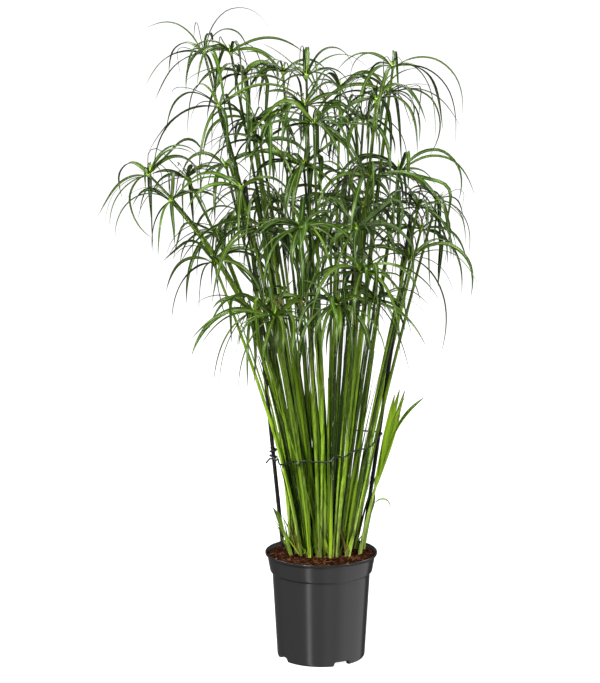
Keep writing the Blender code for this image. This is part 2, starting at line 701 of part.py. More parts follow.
def plant_stems(room, soil_tree):
    """Choose a foot for each stem, the outermost first, so that no two meet."""
    places = foot_places()
    planted = {}
    order = sorted(range(len(STEMS)), key=lambda k: -math.hypot(STEMS[k][0], STEMS[k][1]))
    for number in order:
        name = f"stem_{number + 1:02d}"
        crown = Vector(STEMS[number][:3])
        place, foot, top, stem, hub = find_stand(room, soil_tree, places, crown)
        places.remove(place)
        room.take(stem, name)
        room.take(hub, name, is_hub=True)
        planted[number] = (name, foot, top)
    return planted


# Canes and tie

def cane_point(foot, top, share):
    """A place on the straight line of a cane."""
    return foot.lerp(top, share)


def cane_radius(share):
    """The cane's radius, the same along its length."""
    return CANE_RADIUS


def build_cane(name, foot, top, collection, material):
    """A thin straight cane from the soil to its cut top."""
    middle = (foot + top) / 2
    run = top - foot
    turn = UP.rotation_difference(run).to_matrix().to_4x4()
    shape = bmesh.new()
    bmesh.ops.create_cone(shape, cap_ends=True, segments=8, radius1=CANE_RADIUS,
                          radius2=CANE_RADIUS * 0.92, depth=run.length,
                          matrix=Matrix.Translation(middle) @ turn)
    return make_object(name, shape, collection, material)


def hull(points):
    """The convex outline of flat points, counter-clockwise."""
    ordered = sorted(points)
    outline = []
    for run in (ordered, ordered[::-1]):
        side = []
        for point in run:
            while len(side) > 1:
                (ax, ay), (bx, by) = side[-2], side[-1]
                if (bx - ax) * (point[1] - ay) - (by - ay) * (point[0] - ax) > 0:
                    break
                side.pop()
            side.append(point)
        outline.extend(side[:-1])
    return outline


def tie_height(x):
    """The tie lies lower on the left than on the right."""
    share = (x + 0.075) / 0.165
    return TIE_HEIGHT_LEFT + (TIE_HEIGHT_RIGHT - TIE_HEIGHT_LEFT) * share


def build_tie(standing, cane, collection, material):
    """One wire: a turn round the left cane, round the whole clump, and a last turn."""
    reach = TIE_RADIUS + TIE_OFF
    rims = []
    for point, radius in standing:
        for k in range(12):
            angle = k * math.pi / 6
            rims.append((point.x + (radius + reach) * math.cos(angle),
                         point.y + (radius + reach) * math.sin(angle)))
    outline = hull(rims)
    start = min(range(len(outline)), key=lambda k: outline[k][0])
    corners = [Vector(corner) for corner in outline[start:] + outline[:start + 1]]
    flats = [corners[0]]
    for corner in corners[1:]:
        pieces = max(1, round((corner - flats[-1]).length / TIE_STRETCH))
        before = flats[-1]
        flats.extend(before.lerp(corner, k / pieces) for k in range(1, pieces + 1))
    run = []
    for k, flat in enumerate(flats):
        share = k / (len(flats) - 1)
        front = TIE_FRONT[0] < share < TIE_FRONT[1]
        wave = TIE_WAVE * math.sin(2 * math.pi * TIE_WAVES * share) if front else 0.0
        run.append(Vector((flat.x, flat.y, tie_height(flat.x) + wave + TIE_LIFT * share)))
    centre, radius = cane
    coil_radius = radius + reach + COIL_OFF
    first = run[0] - Vector((centre.x, centre.y, run[0].z))
    first_angle = math.atan2(first.y, first.x)
    before = []
    for k in range(COIL_STEPS, 0, -1):
        angle = first_angle - k * 2 * math.pi / COIL_STEPS
        arm = Vector((math.cos(angle), math.sin(angle), 0)) * coil_radius
        before.append(Vector((centre.x, centre.y, run[0].z - COIL_PITCH * k)) + arm)
    tail = before[0] + TIE_TAIL
    after = []
    for k in range(1, COIL_STEPS):
        angle = first_angle + k * 2 * math.pi / COIL_STEPS
        arm = Vector((math.cos(angle), math.sin(angle), 0)) * coil_radius
        after.append(Vector((centre.x, centre.y, run[-1].z + COIL_PITCH * k)) + arm)
    route = [tail] + before + run + after
    curve = bpy.data.curves.new("tie", "CURVE")
    curve.dimensions = "3D"
    curve.bevel_depth = TIE_RADIUS
    curve.bevel_resolution = 0
    curve.use_fill_caps = True
    spline = curve.splines.new("POLY")
    spline.points.add(len(route) - 1)
    for point, place in zip(spline.points, route):
        point.co = (*place, 1)
    curve.materials.append(material)
    tie = bpy.data.objects.new("tie", curve)
    collection.objects.link(tie)
    return tie


def crossing(foot, top, point_at, radius_at):
    """Where a standing piece passes the tie, and how thick it is there."""
    x = foot.x
    for _ in range(3):
        share = (tie_height(x) + TIE_LIFT / 2 - foot.z) / (top.z - foot.z)
        point = point_at(foot, top, share)
        x = point.x
    return point, radius_at(share)


def main():
    clear_scene()
    plant = make_collection("potted_cyperus")
    cutters = make_collection("cutters")
    pot_plastic = make_material("pot plastic", (0.045, 0.044, 0.046), 0.35)
    soil_mix = make_material("coir soil", (0.055, 0.022, 0.010), 0.95)
    leaf_green = make_material("leaf green", (0.075, 0.165, 0.015), 0.45)
    shoot_green = make_material("young green", (0.300, 0.520, 0.030), 0.45)
    cane_dark = make_material("dark cane", (0.022, 0.014, 0.020), 0.50)
    wire_green = make_material("tie wire", (0.060, 0.085, 0.055), 0.40)

    build_pot(plant, cutters, pot_plastic)
    soil, soil_tree = build_soil(plant, soil_mix)

    room = Room()
    canes = {}
    for name, (x, y), top in CANES:
        foot = Vector((x, y, rest_height(soil_tree, (x, y), CANE_RADIUS)))
        canes[name] = (foot, Vector(top))
        build_cane(name, foot, Vector(top), plant, cane_dark)
        wide = CANE_RADIUS + 0.0028
        room.take(Room.measure(*tube_shape((foot, Vector(top)), (wide, wide))), name)

    shoots = []
    for name, (x, y), top, bud, count, leads in SHOOTS:
        foot = Vector((x, y, rest_height(soil_tree, (x, y), STEM_FOOT_RADIUS)))
        room.take(stem_room(foot, Vector(top), CLEARANCE), name)
        room.take(hub_room(Vector(top)), name, is_hub=True)
        room.take(bud_room(foot, Vector(top), bud), name)
        shoots.append((name, foot, Vector(top), bud, count, leads))
    planted = plant_stems(room, soil_tree)

    chance = random.Random(5)
    for name, foot, top, bud, count, leads in shoots:
        shape = grow_stem(name, foot, top, bud, count, 0, leads, room, chance)
        make_object(name, shape, plant, shoot_green)
    for number, (name, foot, top) in sorted(planted.items()):
        length, count, leads = STEMS[number][3:]
        shape = grow_stem(name, foot, top, CROWN_HEIGHT, count, length, leads, room, chance)
        make_object(name, shape, plant, leaf_green)

    standing = []
    for foot, top in canes.values():
        standing.append(crossing(foot, top, cane_point, cane_radius))
    for name, foot, top in planted.values():
        standing.append(crossing(foot, top, stem_chord, stem_radius))
    build_tie(standing, standing[0], plant, wire_green)


main()
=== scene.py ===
# %% [markdown]
# # A potted cyperus, dressed over its solids
# The frame holds the plant as plain solids: a pot, its soil, two canes, a tie,
# three young shoots and forty-five stems, each with a crown of keeled bracts.
# Such a plant could be modelled leaf by leaf, or grown freely by rules, but
# neither would keep to the solids. So this lesson reads every stem and bract
# back from them and grows a fine, smooth one along the same line.

# %% Load the frame and keep its box
import json
import math

import bmesh
import bpy
import numpy as np
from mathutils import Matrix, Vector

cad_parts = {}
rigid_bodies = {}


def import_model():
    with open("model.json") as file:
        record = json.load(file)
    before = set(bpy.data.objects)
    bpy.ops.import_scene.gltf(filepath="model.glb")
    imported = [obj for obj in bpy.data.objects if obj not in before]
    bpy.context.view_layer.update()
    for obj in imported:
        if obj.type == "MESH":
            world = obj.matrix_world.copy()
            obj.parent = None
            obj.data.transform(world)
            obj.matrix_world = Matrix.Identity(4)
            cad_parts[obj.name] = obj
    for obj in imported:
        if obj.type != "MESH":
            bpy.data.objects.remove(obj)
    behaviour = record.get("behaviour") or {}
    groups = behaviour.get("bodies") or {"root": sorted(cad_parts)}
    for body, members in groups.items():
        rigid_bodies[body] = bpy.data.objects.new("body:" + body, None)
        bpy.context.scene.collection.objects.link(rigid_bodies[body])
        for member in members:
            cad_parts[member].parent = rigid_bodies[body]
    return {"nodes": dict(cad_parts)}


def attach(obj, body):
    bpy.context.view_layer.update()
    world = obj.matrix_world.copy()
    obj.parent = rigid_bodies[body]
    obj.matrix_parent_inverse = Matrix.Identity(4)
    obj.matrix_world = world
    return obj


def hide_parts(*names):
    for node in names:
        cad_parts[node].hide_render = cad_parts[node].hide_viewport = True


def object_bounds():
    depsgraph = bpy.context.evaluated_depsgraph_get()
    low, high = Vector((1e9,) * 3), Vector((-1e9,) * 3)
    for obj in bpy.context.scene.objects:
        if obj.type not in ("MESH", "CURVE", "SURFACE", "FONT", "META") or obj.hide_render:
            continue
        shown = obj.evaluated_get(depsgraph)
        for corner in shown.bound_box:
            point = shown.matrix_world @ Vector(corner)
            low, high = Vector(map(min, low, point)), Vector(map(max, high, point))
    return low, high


for leftover in list(bpy.data.objects):
    bpy.data.objects.remove(leftover)
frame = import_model()
solid_box = [list(corner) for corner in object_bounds()]
SEED = 11
chance = np.random.default_rng(SEED)
print("the solids span", np.round(np.ptp(solid_box, axis=0), 3), "m")

# %% [markdown]
# ## The camera
# A product photograph of a tall plant is taken from a few metres away with a
# long lens, from about the height of its top and tilted a little down, so the
# rim of the pot shows as a thin ellipse. The camera could be placed by eye.
# Here it is worked out from the pot: the ellipses of its rim and foot, and
# the share of the picture that they fill, leave one place and one lens.

# %% Place the camera
CAMERA_PLACE = (-0.0322, -3.2, 1.0385)
CAMERA_TILT = 9.813
CAMERA_LENS = 114.7
FARTHEST_SEEN = 1000
lens_data = bpy.data.cameras.new("camera")
lens_data.lens = CAMERA_LENS
lens_data.clip_end = FARTHEST_SEEN
camera = bpy.data.objects.new("camera", lens_data)
camera.location = CAMERA_PLACE
camera.rotation_euler = (math.radians(90 - CAMERA_TILT), 0, 0)
bpy.context.collection.objects.link(camera)
bpy.context.scene.camera = camera
print("camera looks", CAMERA_TILT, "degrees down")

# %% [markdown]
# ## Meshes from whole arrays
# Every new piece is a surface worked out with numpy. A strand, such as a leaf
# or a stem, is a row of rings along a path, closed by a point at each end. A
# loop could place corner after corner, but hundreds of thousands of them
# would take minutes. So the strands of one make are computed together as one
# array with the axes (strand, ring, corner, xyz), which is called a block.

# %% Strands as rings with closed ends
def unit(vectors):
    """Vectors divided by their own length."""
    size = np.linalg.norm(vectors, axis=-1, keepdims=True)
    return vectors / np.maximum(size, 1e-9)


def ring_faces(strands, rings, sides):
    """Faces of strands that wind the same way: four-sided between neighbouring
    rings, three-sided (last corner -1) from each end ring to its end point."""
    s, r, k = np.meshgrid(np.arange(strands), np.arange(rings - 1), np.arange(sides),
                          indexing="ij")
    after = (k + 1) % sides
    here = (s * rings + r) * sides
    walls = np.stack((here + k, here + after, here + sides + after, here + sides + k), -1)
    s, k = np.meshgrid(np.arange(strands), np.arange(sides), indexing="ij")
    after = (k + 1) % sides
    first = s * rings * sides
    last = first + (rings - 1) * sides
    ends = strands * rings * sides + s
    start = np.stack((ends, first + after, first + k, np.full_like(s, -1)), -1)
    finish = np.stack((ends + strands, last + k, last + after, np.full_like(s, -1)), -1)
    return np.concatenate([block.reshape(-1, 4) for block in (walls, start, finish)])


def strand_block(rings, starts, ends, place, tone, material):
    """A block of strands from rings (strand, ring, corner, xyz) and end points.

    place and tone are notes for the materials: place follows the corners, and
    tone is the same over a strand."""
    strands, count, sides = rings.shape[:3]
    shape = rings.shape[:3] + (3,)
    place = np.broadcast_to(place, shape)
    places = [place.reshape(-1, 3), place[:, 0].mean(1), place[:, -1].mean(1)]
    tones = np.broadcast_to(tone[:, None, None], shape).reshape(-1, 3)
    return {
        "corners": np.concatenate((rings.reshape(-1, 3), starts, ends)),
        "faces": ring_faces(strands, count, sides),
        "place": np.concatenate(places),
        "tone": np.concatenate((tones, tone, tone)),
        "material": material,
    }


print("one strand of 3 rings with 8 sides has", len(ring_faces(1, 3, 8)), "faces")

# %% [markdown]
# ## A piece from its blocks
# A stem with its crown is one grown piece, so its blocks become one mesh.
# Joining objects in Blender would do that too, but slowly for a thousand
# strands. Here all corners and faces are handed over in a few long arrays,
# with two notes for the materials stored on every corner.

# %% A piece from its blocks
SHARP_DEGREES = 26


def make_piece(name, blocks, materials, nodes):
    """One mesh object from blocks, riding on the frame in place of its nodes."""
    starts = np.cumsum([0] + [len(block["corners"]) for block in blocks])
    faces = np.concatenate([np.where(block["faces"] < 0, -1, block["faces"] + start)
                            for block, start in zip(blocks, starts)])
    kinds = np.concatenate([np.full(len(block["faces"]), materials.index(block["material"]))
                            for block in blocks])
    corners = np.concatenate([block["corners"] for block in blocks])
    sizes = (faces >= 0).sum(1)
    mesh = bpy.data.meshes.new(name)
    mesh.vertices.add(len(corners))
    mesh.vertices.foreach_set("co", corners.astype(np.float32).ravel())
    mesh.loops.add(int(sizes.sum()))
    mesh.loops.foreach_set("vertex_index", faces[faces >= 0].astype(np.int32))
    mesh.polygons.add(len(faces))
    mesh.polygons.foreach_set("loop_start", np.cumsum(sizes) - sizes)
    mesh.polygons.foreach_set("material_index", kinds.astype(np.int32))
    mesh.update(calc_edges=True)
    for note in ("place", "tone"):
        values = np.concatenate([block[note] for block in blocks])
        layer = mesh.attributes.new(note, "FLOAT_VECTOR", "POINT")
        layer.data.foreach_set("vector", values.astype(np.float32).ravel())
    mesh.shade_smooth()
    mesh.set_sharp_from_angle(angle=math.radians(SHARP_DEGREES))
    for material in materials:
        mesh.materials.append(material)
    piece = bpy.data.objects.new(name, mesh)
    bpy.context.collection.objects.link(piece)
    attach(piece, "root")
    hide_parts(*nodes)
    return piece


def count_triangles(piece):
    """How many triangles a piece has."""
    return sum(len(face.vertices) - 2 for face in piece.data.polygons)


print("edges sharper than", SHARP_DEGREES, "degrees stay sharp")

# %% [markdown]
# ## Paths and tubes
# A solid gives only a few knots along each stem or leaf. Blender's own curve
# objects could round them off, but a formula keeps every ring within reach:
# a smooth curve through the knots, and a ring of corners round each place.

# %% Smooth paths and round tubes
def smooth_path(knots, rows):
    """Evenly spaced places on a curve through the knots.

    Between two knots it is a cubic Hermite curve: their places and slopes,
    blended by four cubic weights. The slopes are np.gradient along the chords."""
    chords = np.linalg.norm(np.diff(knots, axis=0), axis=1)
    along = np.concatenate(([0], np.cumsum(chords)))
    order = 2 if len(knots) > 2 else 1
    slopes = np.gradient(knots, along, axis=0, edge_order=order)
    where = np.linspace(0, along[-1], rows)
    before = np.clip(np.searchsorted(along, where, side="right") - 1, 0, len(chords) - 1)
    span = chords[before][:, None]
    t = (where[:, None] - along[before][:, None]) / span
    return ((2 * t**3 - 3 * t**2 + 1) * knots[before] + (t**3 - 2 * t**2 + t) * span * slopes[before]
            + (3 * t**2 - 2 * t**3) * knots[before + 1] + (t**3 - t**2) * span * slopes[before + 1])


def carry_frames(paths, guide):
    """Unit vectors ahead, sideways and up along paths (strand, ring, xyz); the
    sideways one is the guide less its part ahead."""
    ahead = unit(np.gradient(paths, axis=1))
    sideways = unit(guide - ahead * (guide * ahead).sum(-1, keepdims=True))
    return ahead, sideways, np.cross(ahead, sideways)


def round_tubes(paths, radii, sides, guide, ripple=0.0, ribs=3):
    """Rings round paths: centre + radius * (1 + ripple cos(ribs a)) * (cos a, sin a)."""
    _, sideways, up = carry_frames(paths, guide)
    angle = np.arange(sides) * 2 * np.pi / sides
    swell = radii[..., None] * (1 + ripple * np.cos(ribs * angle))
    return (paths[:, :, None] + (swell * np.cos(angle))[..., None] * sideways[:, :, None]
            + (swell * np.sin(angle))[..., None] * up[:, :, None])


def tube_block(paths, radii, sides, guide, tone, material, ripple=0.0, ribs=3):
    """Round tubes with the note (cos a, sin a, height in metres) for materials."""
    rings = round_tubes(paths, radii, sides, guide, ripple, ribs)
    angle = np.arange(sides) * 2 * np.pi / sides
    place = np.stack(np.broadcast_arrays(np.cos(angle), np.sin(angle), rings[..., 2]), -1)
    return strand_block(rings, paths[:, 0], paths[:, -1], place, tone, material)


def rows_at(where, marks, rows):
    """Rows blended linearly between their marks, at each place asked for."""
    return np.stack([np.interp(where, marks, rows[:, axis]) for axis in range(3)], -1)


def pointing(azimuth, lift):
    """Unit vectors towards an azimuth, lifted: (cos a cos l, sin a cos l, sin l)."""
    flat = np.cos(lift)
    parts = (np.cos(azimuth) * flat, np.sin(azimuth) * flat, np.sin(lift))
    return np.stack(np.broadcast_arrays(*parts), -1)


print("a curve through three knots can have", len(smooth_path(np.eye(3), 9)), "rows")

# %% [markdown]
# ## Finishes from nodes
# A finish is a small network of shader nodes. Writing each node as one call,
# with its inputs given as numbers or as other nodes' outputs, keeps a network
# readable. Patterns that follow a leaf read the notes stored on its corners;
# patterns in soil or plastic read plain Object coordinates.

# %% Node shorthands
WHITE = (1.0, 1.0, 1.0, 1)
LEAF_SHEEN = (0.78, 1.0, 0.50, 1)


def start_finish(name, roughness, gloss=0.5, tint=WHITE):
    """A new material with its node tree and its Principled shader."""
    material = bpy.data.materials.new(name)
    material.use_nodes = True
    shader = material.node_tree.nodes["Principled BSDF"]
    shader.inputs["Roughness"].default_value = roughness
    shader.inputs["Specular IOR Level"].default_value = gloss
    shader.inputs["Specular Tint"].default_value = tint
    return material, material.node_tree, shader


def add(tree, kind, wires, **settings):
    """Add a node; wires are its inputs, as plain values or as outputs to link."""
    part = tree.nodes.new("ShaderNode" + kind)
    for key, value in settings.items():
        setattr(part, key, value)
    for key, value in wires.items():
        if isinstance(value, bpy.types.NodeSocket):
            tree.links.new(value, part.inputs[key])
        else:
            part.inputs[key].default_value = value
    return part.outputs


def reckon(tree, operation, first, second=0.0, clamp=False):
    """One sum on two numbers."""
    return add(tree, "Math", {0: first, 1: second}, operation=operation, use_clamp=clamp)[0]


def between(tree, value, low, high):
    """0 below low, 1 above high and a smooth rise between them."""
    return add(tree, "MapRange", {0: value, 1: low, 2: high}, interpolation_type="SMOOTHSTEP")[0]


def blend_colours(tree, share, first, second):
    """The first colour where the share is 0 and the second where it is 1."""
    return add(tree, "Mix", {0: share, 6: first, 7: second}, data_type="RGBA")[2]


print("the green sheen keeps", LEAF_SHEEN[:3], "of red, green and blue")

# %% Patterns, notes and links
def speckle(tree, where, scale, detail=2.0, stretch=None):
    """Noise from 0 to 1 at a place, optionally stretched along its axes."""
    if stretch:
        where = add(tree, "Mapping", {0: where, 3: stretch})[0]
    return add(tree, "TexNoise", {"Vector": where, "Scale": scale, "Detail": detail})[0]


def notes(tree, name):
    """The three numbers of a note stored on the corners."""
    vector = add(tree, "Attribute", {}, attribute_name=name)[1]
    return add(tree, "SeparateXYZ", {0: vector})


def object_place(tree):
    """The place in Object coordinates, the same for every piece as in the frame."""
    return add(tree, "TexCoord", {})["Object"]


def scaled(tree, value, factor, offset=None):
    """The value times a factor, plus an offset where there is one."""
    value = reckon(tree, "MULTIPLY", value, factor)
    return value if offset is None else reckon(tree, "ADD", value, offset)


def feed(shader, name, value):
    """Link a value to one of the shader's inputs."""
    shader.id_data.links.new(value, shader.inputs[name])


def raise_surface(tree, shader, height, depth, strength):
    """Bump the shader's surface by a height pattern, depth in metres."""
    bump = add(tree, "Bump", {"Height": height, "Distance": depth, "Strength": strength})
    feed(shader, "Normal", bump[0])


def report_finish(material):
    """Print how many nodes a finish has."""
    print(material.name, "has", len(material.node_tree.nodes), "nodes")


print("pattern helpers ready")

# %% [markdown]
# ## Leaf finishes
# Cyperus leaves are deep green ribbons with a pale midrib, fine parallel
# veins and tips that dry brown. Some blades have a paler, silvery underside,
# partly their own colour and partly painted sheen. Young growth is bright
# yellow-green, and the thinnest leaves are dull and dark, which also paints
# the shade they hang in. A picture of a leaf could be laid on every blade,
# but it would repeat. Here the pattern is reckoned from the notes on the
# corners, so every blade has a shade, youth and dryness of its own.

# %% Leaf finish
DEEP_GREEN = (0.003, 0.009, 0.001, 1)
MID_GREEN = (0.034, 0.080, 0.003, 1)
YOUNG_GREEN = (0.420, 0.680, 0.030, 1)
PALE_RIB = (0.190, 0.310, 0.090, 1)
UNDERSIDE_AND_SHEEN = (0.080, 0.125, 0.045, 1)
DRY_STRAW = (0.230, 0.130, 0.050, 1)
LEAF_PATCH_SCALE = 45.0
LEAF_PATCH_SHARE = 0.4
RIB_EDGE = (0.20, 0.05)
RIB_STRENGTH = 0.70
UNDER_EDGE = (0.2, -0.2)
UNDERSIDE_SHEEN_TONES = (0.4, 0.9)
YOUTH_FADES = (1.3, 0.1)
DRY_TIP = (0.93, 1.0)
DRY_TIP_STRENGTH = 0.7
SATIN_CHANGE = 0.20
SATIN_LEAST = 0.20
VEIN_RATE = 34.0
VEIN_DEPTH = 0.00006
VEIN_STRENGTH = 0.6


def leaf_finish(name):
    """Leaf green from the notes: place is (along, across, side), tone is
    (shade, youth, dryness)."""
    material, tree, shader = start_finish(name, roughness=0.38, gloss=0.46, tint=LEAF_SHEEN)
    along, across, side = notes(tree, "place")
    shade, youth, dryness = notes(tree, "tone")
    patch = speckle(tree, object_place(tree), LEAF_PATCH_SCALE)
    green = blend_colours(tree, scaled(tree, patch, LEAF_PATCH_SHARE, shade), DEEP_GREEN, MID_GREEN)
    rib = between(tree, reckon(tree, "ABSOLUTE", across), *RIB_EDGE)
    green = blend_colours(tree, scaled(tree, rib, RIB_STRENGTH), green, PALE_RIB)
    # A paler, silvery underside on some blades: partly the leaf's own colour, partly painted sheen.
    underside_sheen = reckon(tree, "MULTIPLY", between(tree, side, *UNDER_EDGE),
                   between(tree, shade, *UNDERSIDE_SHEEN_TONES))
    green = blend_colours(tree, underside_sheen, green, UNDERSIDE_AND_SHEEN)
    fresh = reckon(tree, "MULTIPLY", youth, between(tree, along, *YOUTH_FADES))
    green = blend_colours(tree, fresh, green, YOUNG_GREEN)
    tip = scaled(tree, between(tree, along, *DRY_TIP), DRY_TIP_STRENGTH)
    dry = reckon(tree, "MAXIMUM", tip, dryness)
    feed(shader, "Base Color", blend_colours(tree, dry, green, DRY_STRAW))
    feed(shader, "Roughness", scaled(tree, patch, SATIN_CHANGE, SATIN_LEAST))
    veins = reckon(tree, "SINE", scaled(tree, across, VEIN_RATE))
    raise_surface(tree, shader, veins, VEIN_DEPTH, VEIN_STRENGTH)
    return material


leaf_green = leaf_finish("cyperus leaf")
report_finish(leaf_green)

# %% Thread finish
THREAD_DARK_AND_SHADE = (0.020, 0.014, 0.011, 1)


def thread_finish(name):
    """Hair-thin leaves are dull and dark, purplish where they are oldest; the dark also paints the
    shade they hang in.
    """
    material, tree, shader = start_finish(name, roughness=0.45, gloss=0.25)
    shade, youth, _ = notes(tree, "tone")
    # The threads' dark is partly their dull colour and partly painted shade.
    dark = blend_colours(tree, shade, THREAD_DARK_AND_SHADE, DEEP_GREEN)
    feed(shader, "Base Color", blend_colours(tree, youth, dark, MID_GREEN))
    return material


thread_dark_and_shade = thread_finish("thread leaf")
report_finish(thread_dark_and_shade)

# %% [markdown]
# ## Stem finish
# A stem is bright at its foot and darkens upwards, some stems are dark all
# the way, and fine dark lines run along them, with pale streaks that are
# painted highlights. Its feet are darkened by a little earth stain and by
# painted shade between the crowded stems.
# Each stem could have a material of its own, but one network that reads the
# height and the stem's own tone from the corners gives each its own look.

# %% Stem finish
STEM_DARK = (0.006, 0.019, 0.001, 1)
STEM_BRIGHT = (0.480, 0.790, 0.050, 1)
STEM_FOOT = (0.530, 0.740, 0.140, 1)
STEM_LINE = (0.014, 0.034, 0.002, 1)
STEM_PAINTED_HIGHLIGHT = (0.360, 0.500, 0.150, 1)
FOOT_STAIN_AND_SHADE = (0.026, 0.014, 0.006, 1)
FOOT_LEVEL = 0.158
GRAIN_SCALE = 300.0
GRAIN_STRETCH = (1.0, 1.0, 0.03)
LINE_GRAIN = (0.44, 0.62)
LINE_STRENGTH = 0.45
HIGHLIGHT_GRAIN = (0.42, 0.30)
HIGHLIGHT_STRENGTH = 0.55
STEM_PATCH_SCALE = 18.0
STEM_PATCH_RISE = 0.12
DARKENS_BETWEEN = (0.34, 0.76)
DARKENS_BY = 0.82
BRIGHT_FOOT = (FOOT_LEVEL + 0.14, FOOT_LEVEL + 0.02)
STAIN_AND_SHADE_HEIGHTS = (FOOT_LEVEL + 0.075, FOOT_LEVEL + 0.008)
STAIN_AND_SHADE_TONES = (0.15, 0.7)
STEM_RIBS = 18.0
STEM_RIB_DEPTH = 0.00008
STEM_RIB_STRENGTH = 0.6


def stem_finish(name):
    """Stem green: the height note runs bright at the foot and darker upwards."""
    material, tree, shader = start_finish(name, roughness=0.24, gloss=0.90, tint=LEAF_SHEEN)
    around, beside, height = notes(tree, "place")
    shade, youth, _ = notes(tree, "tone")
    spot = object_place(tree)
    grain = speckle(tree, spot, GRAIN_SCALE, detail=3.0, stretch=GRAIN_STRETCH)
    streak = between(tree, grain, *LINE_GRAIN)
    patch = speckle(tree, spot, STEM_PATCH_SCALE)
    climb = between(tree, scaled(tree, patch, STEM_PATCH_RISE, height), *DARKENS_BETWEEN)
    bright = blend_colours(tree, youth, STEM_DARK, STEM_BRIGHT)
    green = blend_colours(tree, scaled(tree, climb, DARKENS_BY), bright, STEM_DARK)
    low = reckon(tree, "MULTIPLY", between(tree, height, *BRIGHT_FOOT), youth)
    green = blend_colours(tree, low, green, STEM_FOOT)
    # Pale streaks along the stem: painted highlights.
    pale = scaled(tree, between(tree, grain, *HIGHLIGHT_GRAIN), HIGHLIGHT_STRENGTH)
    green = blend_colours(tree, pale, green, STEM_PAINTED_HIGHLIGHT)
    # Darker at the foot: partly earth stain, partly painted shade between the crowded stems.
    stain_and_shade = reckon(tree, "MULTIPLY", between(tree, height, *STAIN_AND_SHADE_HEIGHTS),
                   between(tree, shade, *STAIN_AND_SHADE_TONES))
    green = blend_colours(tree, stain_and_shade, green, FOOT_STAIN_AND_SHADE)
    feed(shader, "Base Color",
         blend_colours(tree, scaled(tree, streak, LINE_STRENGTH), green, STEM_LINE))
    ribs = reckon(tree, "SINE", scaled(tree, reckon(tree, "ARCTAN2", beside, around), STEM_RIBS))
    raise_surface(tree, shader, reckon(tree, "ADD", ribs, streak), STEM_RIB_DEPTH, STEM_RIB_STRENGTH)
    return material


stem_green = stem_finish("cyperus stem")
report_finish(stem_green)

# %% [markdown]
# ## Sheath finish
# Papery sheaths clasp the feet of the stems: purplish brown at the bottom,
# straw or green towards their torn rims, with fibres along them. A brown
# colour alone would do from afar, but not close up. So noise, stretched
# upwards, makes fibres that are seen in the colour and felt in the surface.

# %% Sheath finish
SHEATH_BROWN = (0.055, 0.018, 0.014, 1)
SHEATH_STRAW = (0.190, 0.180, 0.050, 1)
FIBRE_SCALE = 420.0
FIBRE_STRETCH = (1.0, 1.0, 0.05)
FIBRE_SHARE = 0.5
SHEATH_GREENS = (0.15, 0.75)
FIBRE_DEPTH = 0.00012


def sheath_finish(name):
    """Papery brown: darker at the foot, straw towards the torn tip, with fibres."""
    material, tree, shader = start_finish(name, roughness=0.62, gloss=0.35)
    shade, youth, _ = notes(tree, "tone")
    fibre = speckle(tree, object_place(tree), FIBRE_SCALE, detail=3.0, stretch=FIBRE_STRETCH)
    mixed = reckon(tree, "ADD", shade, scaled(tree, fibre, FIBRE_SHARE), clamp=True)
    brown = blend_colours(tree, mixed, SHEATH_BROWN, SHEATH_STRAW)
    upper = between(tree, notes(tree, "place")[2], *SHEATH_GREENS)
    green = blend_colours(tree, reckon(tree, "MULTIPLY", upper, youth), brown, STEM_BRIGHT)
    feed(shader, "Base Color", green)
    raise_surface(tree, shader, fibre, FIBRE_DEPTH, strength=0.8)
    return material


sheath_brown = sheath_finish("papery sheath")
report_finish(sheath_brown)
GREENS = [leaf_green, stem_green, sheath_brown, thread_dark_and_shade]

# %% [markdown]
# ## Reading a stem back from its solid
# A stem's solid is a hub with three-cornered bracts pulled from its sides and
# a three-cornered stem pulled from its base. Its line could be typed in again
# by hand, but then it could drift away from the solid. After its doubles are
# merged, a corner with exactly three neighbours is the tip of a bract. From
# the tip the next ring is always the corners not met yet, three at a time,
# until the walk reaches the four corners of the hub.

# %% Walk the rings of a solid
MERGE_WITHIN = 0.00003


def merged(node):
    """A node's corners with doubles merged, and which corners share an edge."""
    shape = bmesh.new()
    shape.from_mesh(frame["nodes"][node].data)
    bmesh.ops.remove_doubles(shape, verts=shape.verts, dist=MERGE_WITHIN)
    shape.verts.index_update()
    corners = np.array([tuple(corner.co) for corner in shape.verts])
    pairs = np.array([[corner.index for corner in edge.verts] for edge in shape.edges])
    shape.free()
    near = np.zeros((len(corners), len(corners)), bool)
    near[pairs[:, 0], pairs[:, 1]] = True
    return corners, near | near.T


def walk_rings(near, first, size):
    """Rings of neighbours not met yet, while they have this size; the last
    entry is the ring where the size changes."""
    rings = [np.flatnonzero(first)]
    met = first.copy()
    while len(rings) == 1 or len(rings[-1]) == size:
        ahead = near[rings[-1]].any(0) & ~met
        if not ahead.any():
            break
        met |= ahead
        rings.append(np.flatnonzero(ahead))
    return rings


print("stem_01 has", len(merged("stem_01")[0]), "corners once its doubles are merged")

# %% Read stems and bracts
STRAND_CORNERS = 3


def read_bract(corners, near, tip):
    """A bract's knots from hub to tip, which way its upper side faces, its width."""
    first = np.zeros(len(corners), bool)
    first[tip] = True
    rings = walk_rings(near, first, STRAND_CORNERS)
    knots = [corners[tip]]
    ups = []
    widths = []
    for ring in rings[1:-1]:
        a, b, c = corners[ring]
        edges = ((a, b, c), (b, c, a), (c, a, b))
        left, right, keel = max(edges, key=lambda item: np.linalg.norm(item[0] - item[1]))
        knots.append((left + right) / 2)
        ups.append(unit(knots[-1] - keel))
        widths.append(np.linalg.norm(left - right))
    knots.append(corners[rings[-1]].mean(0))
    ups = np.array([ups[0]] + ups + [ups[-1]])
    return np.array(knots)[::-1], ups[::-1], max(widths)


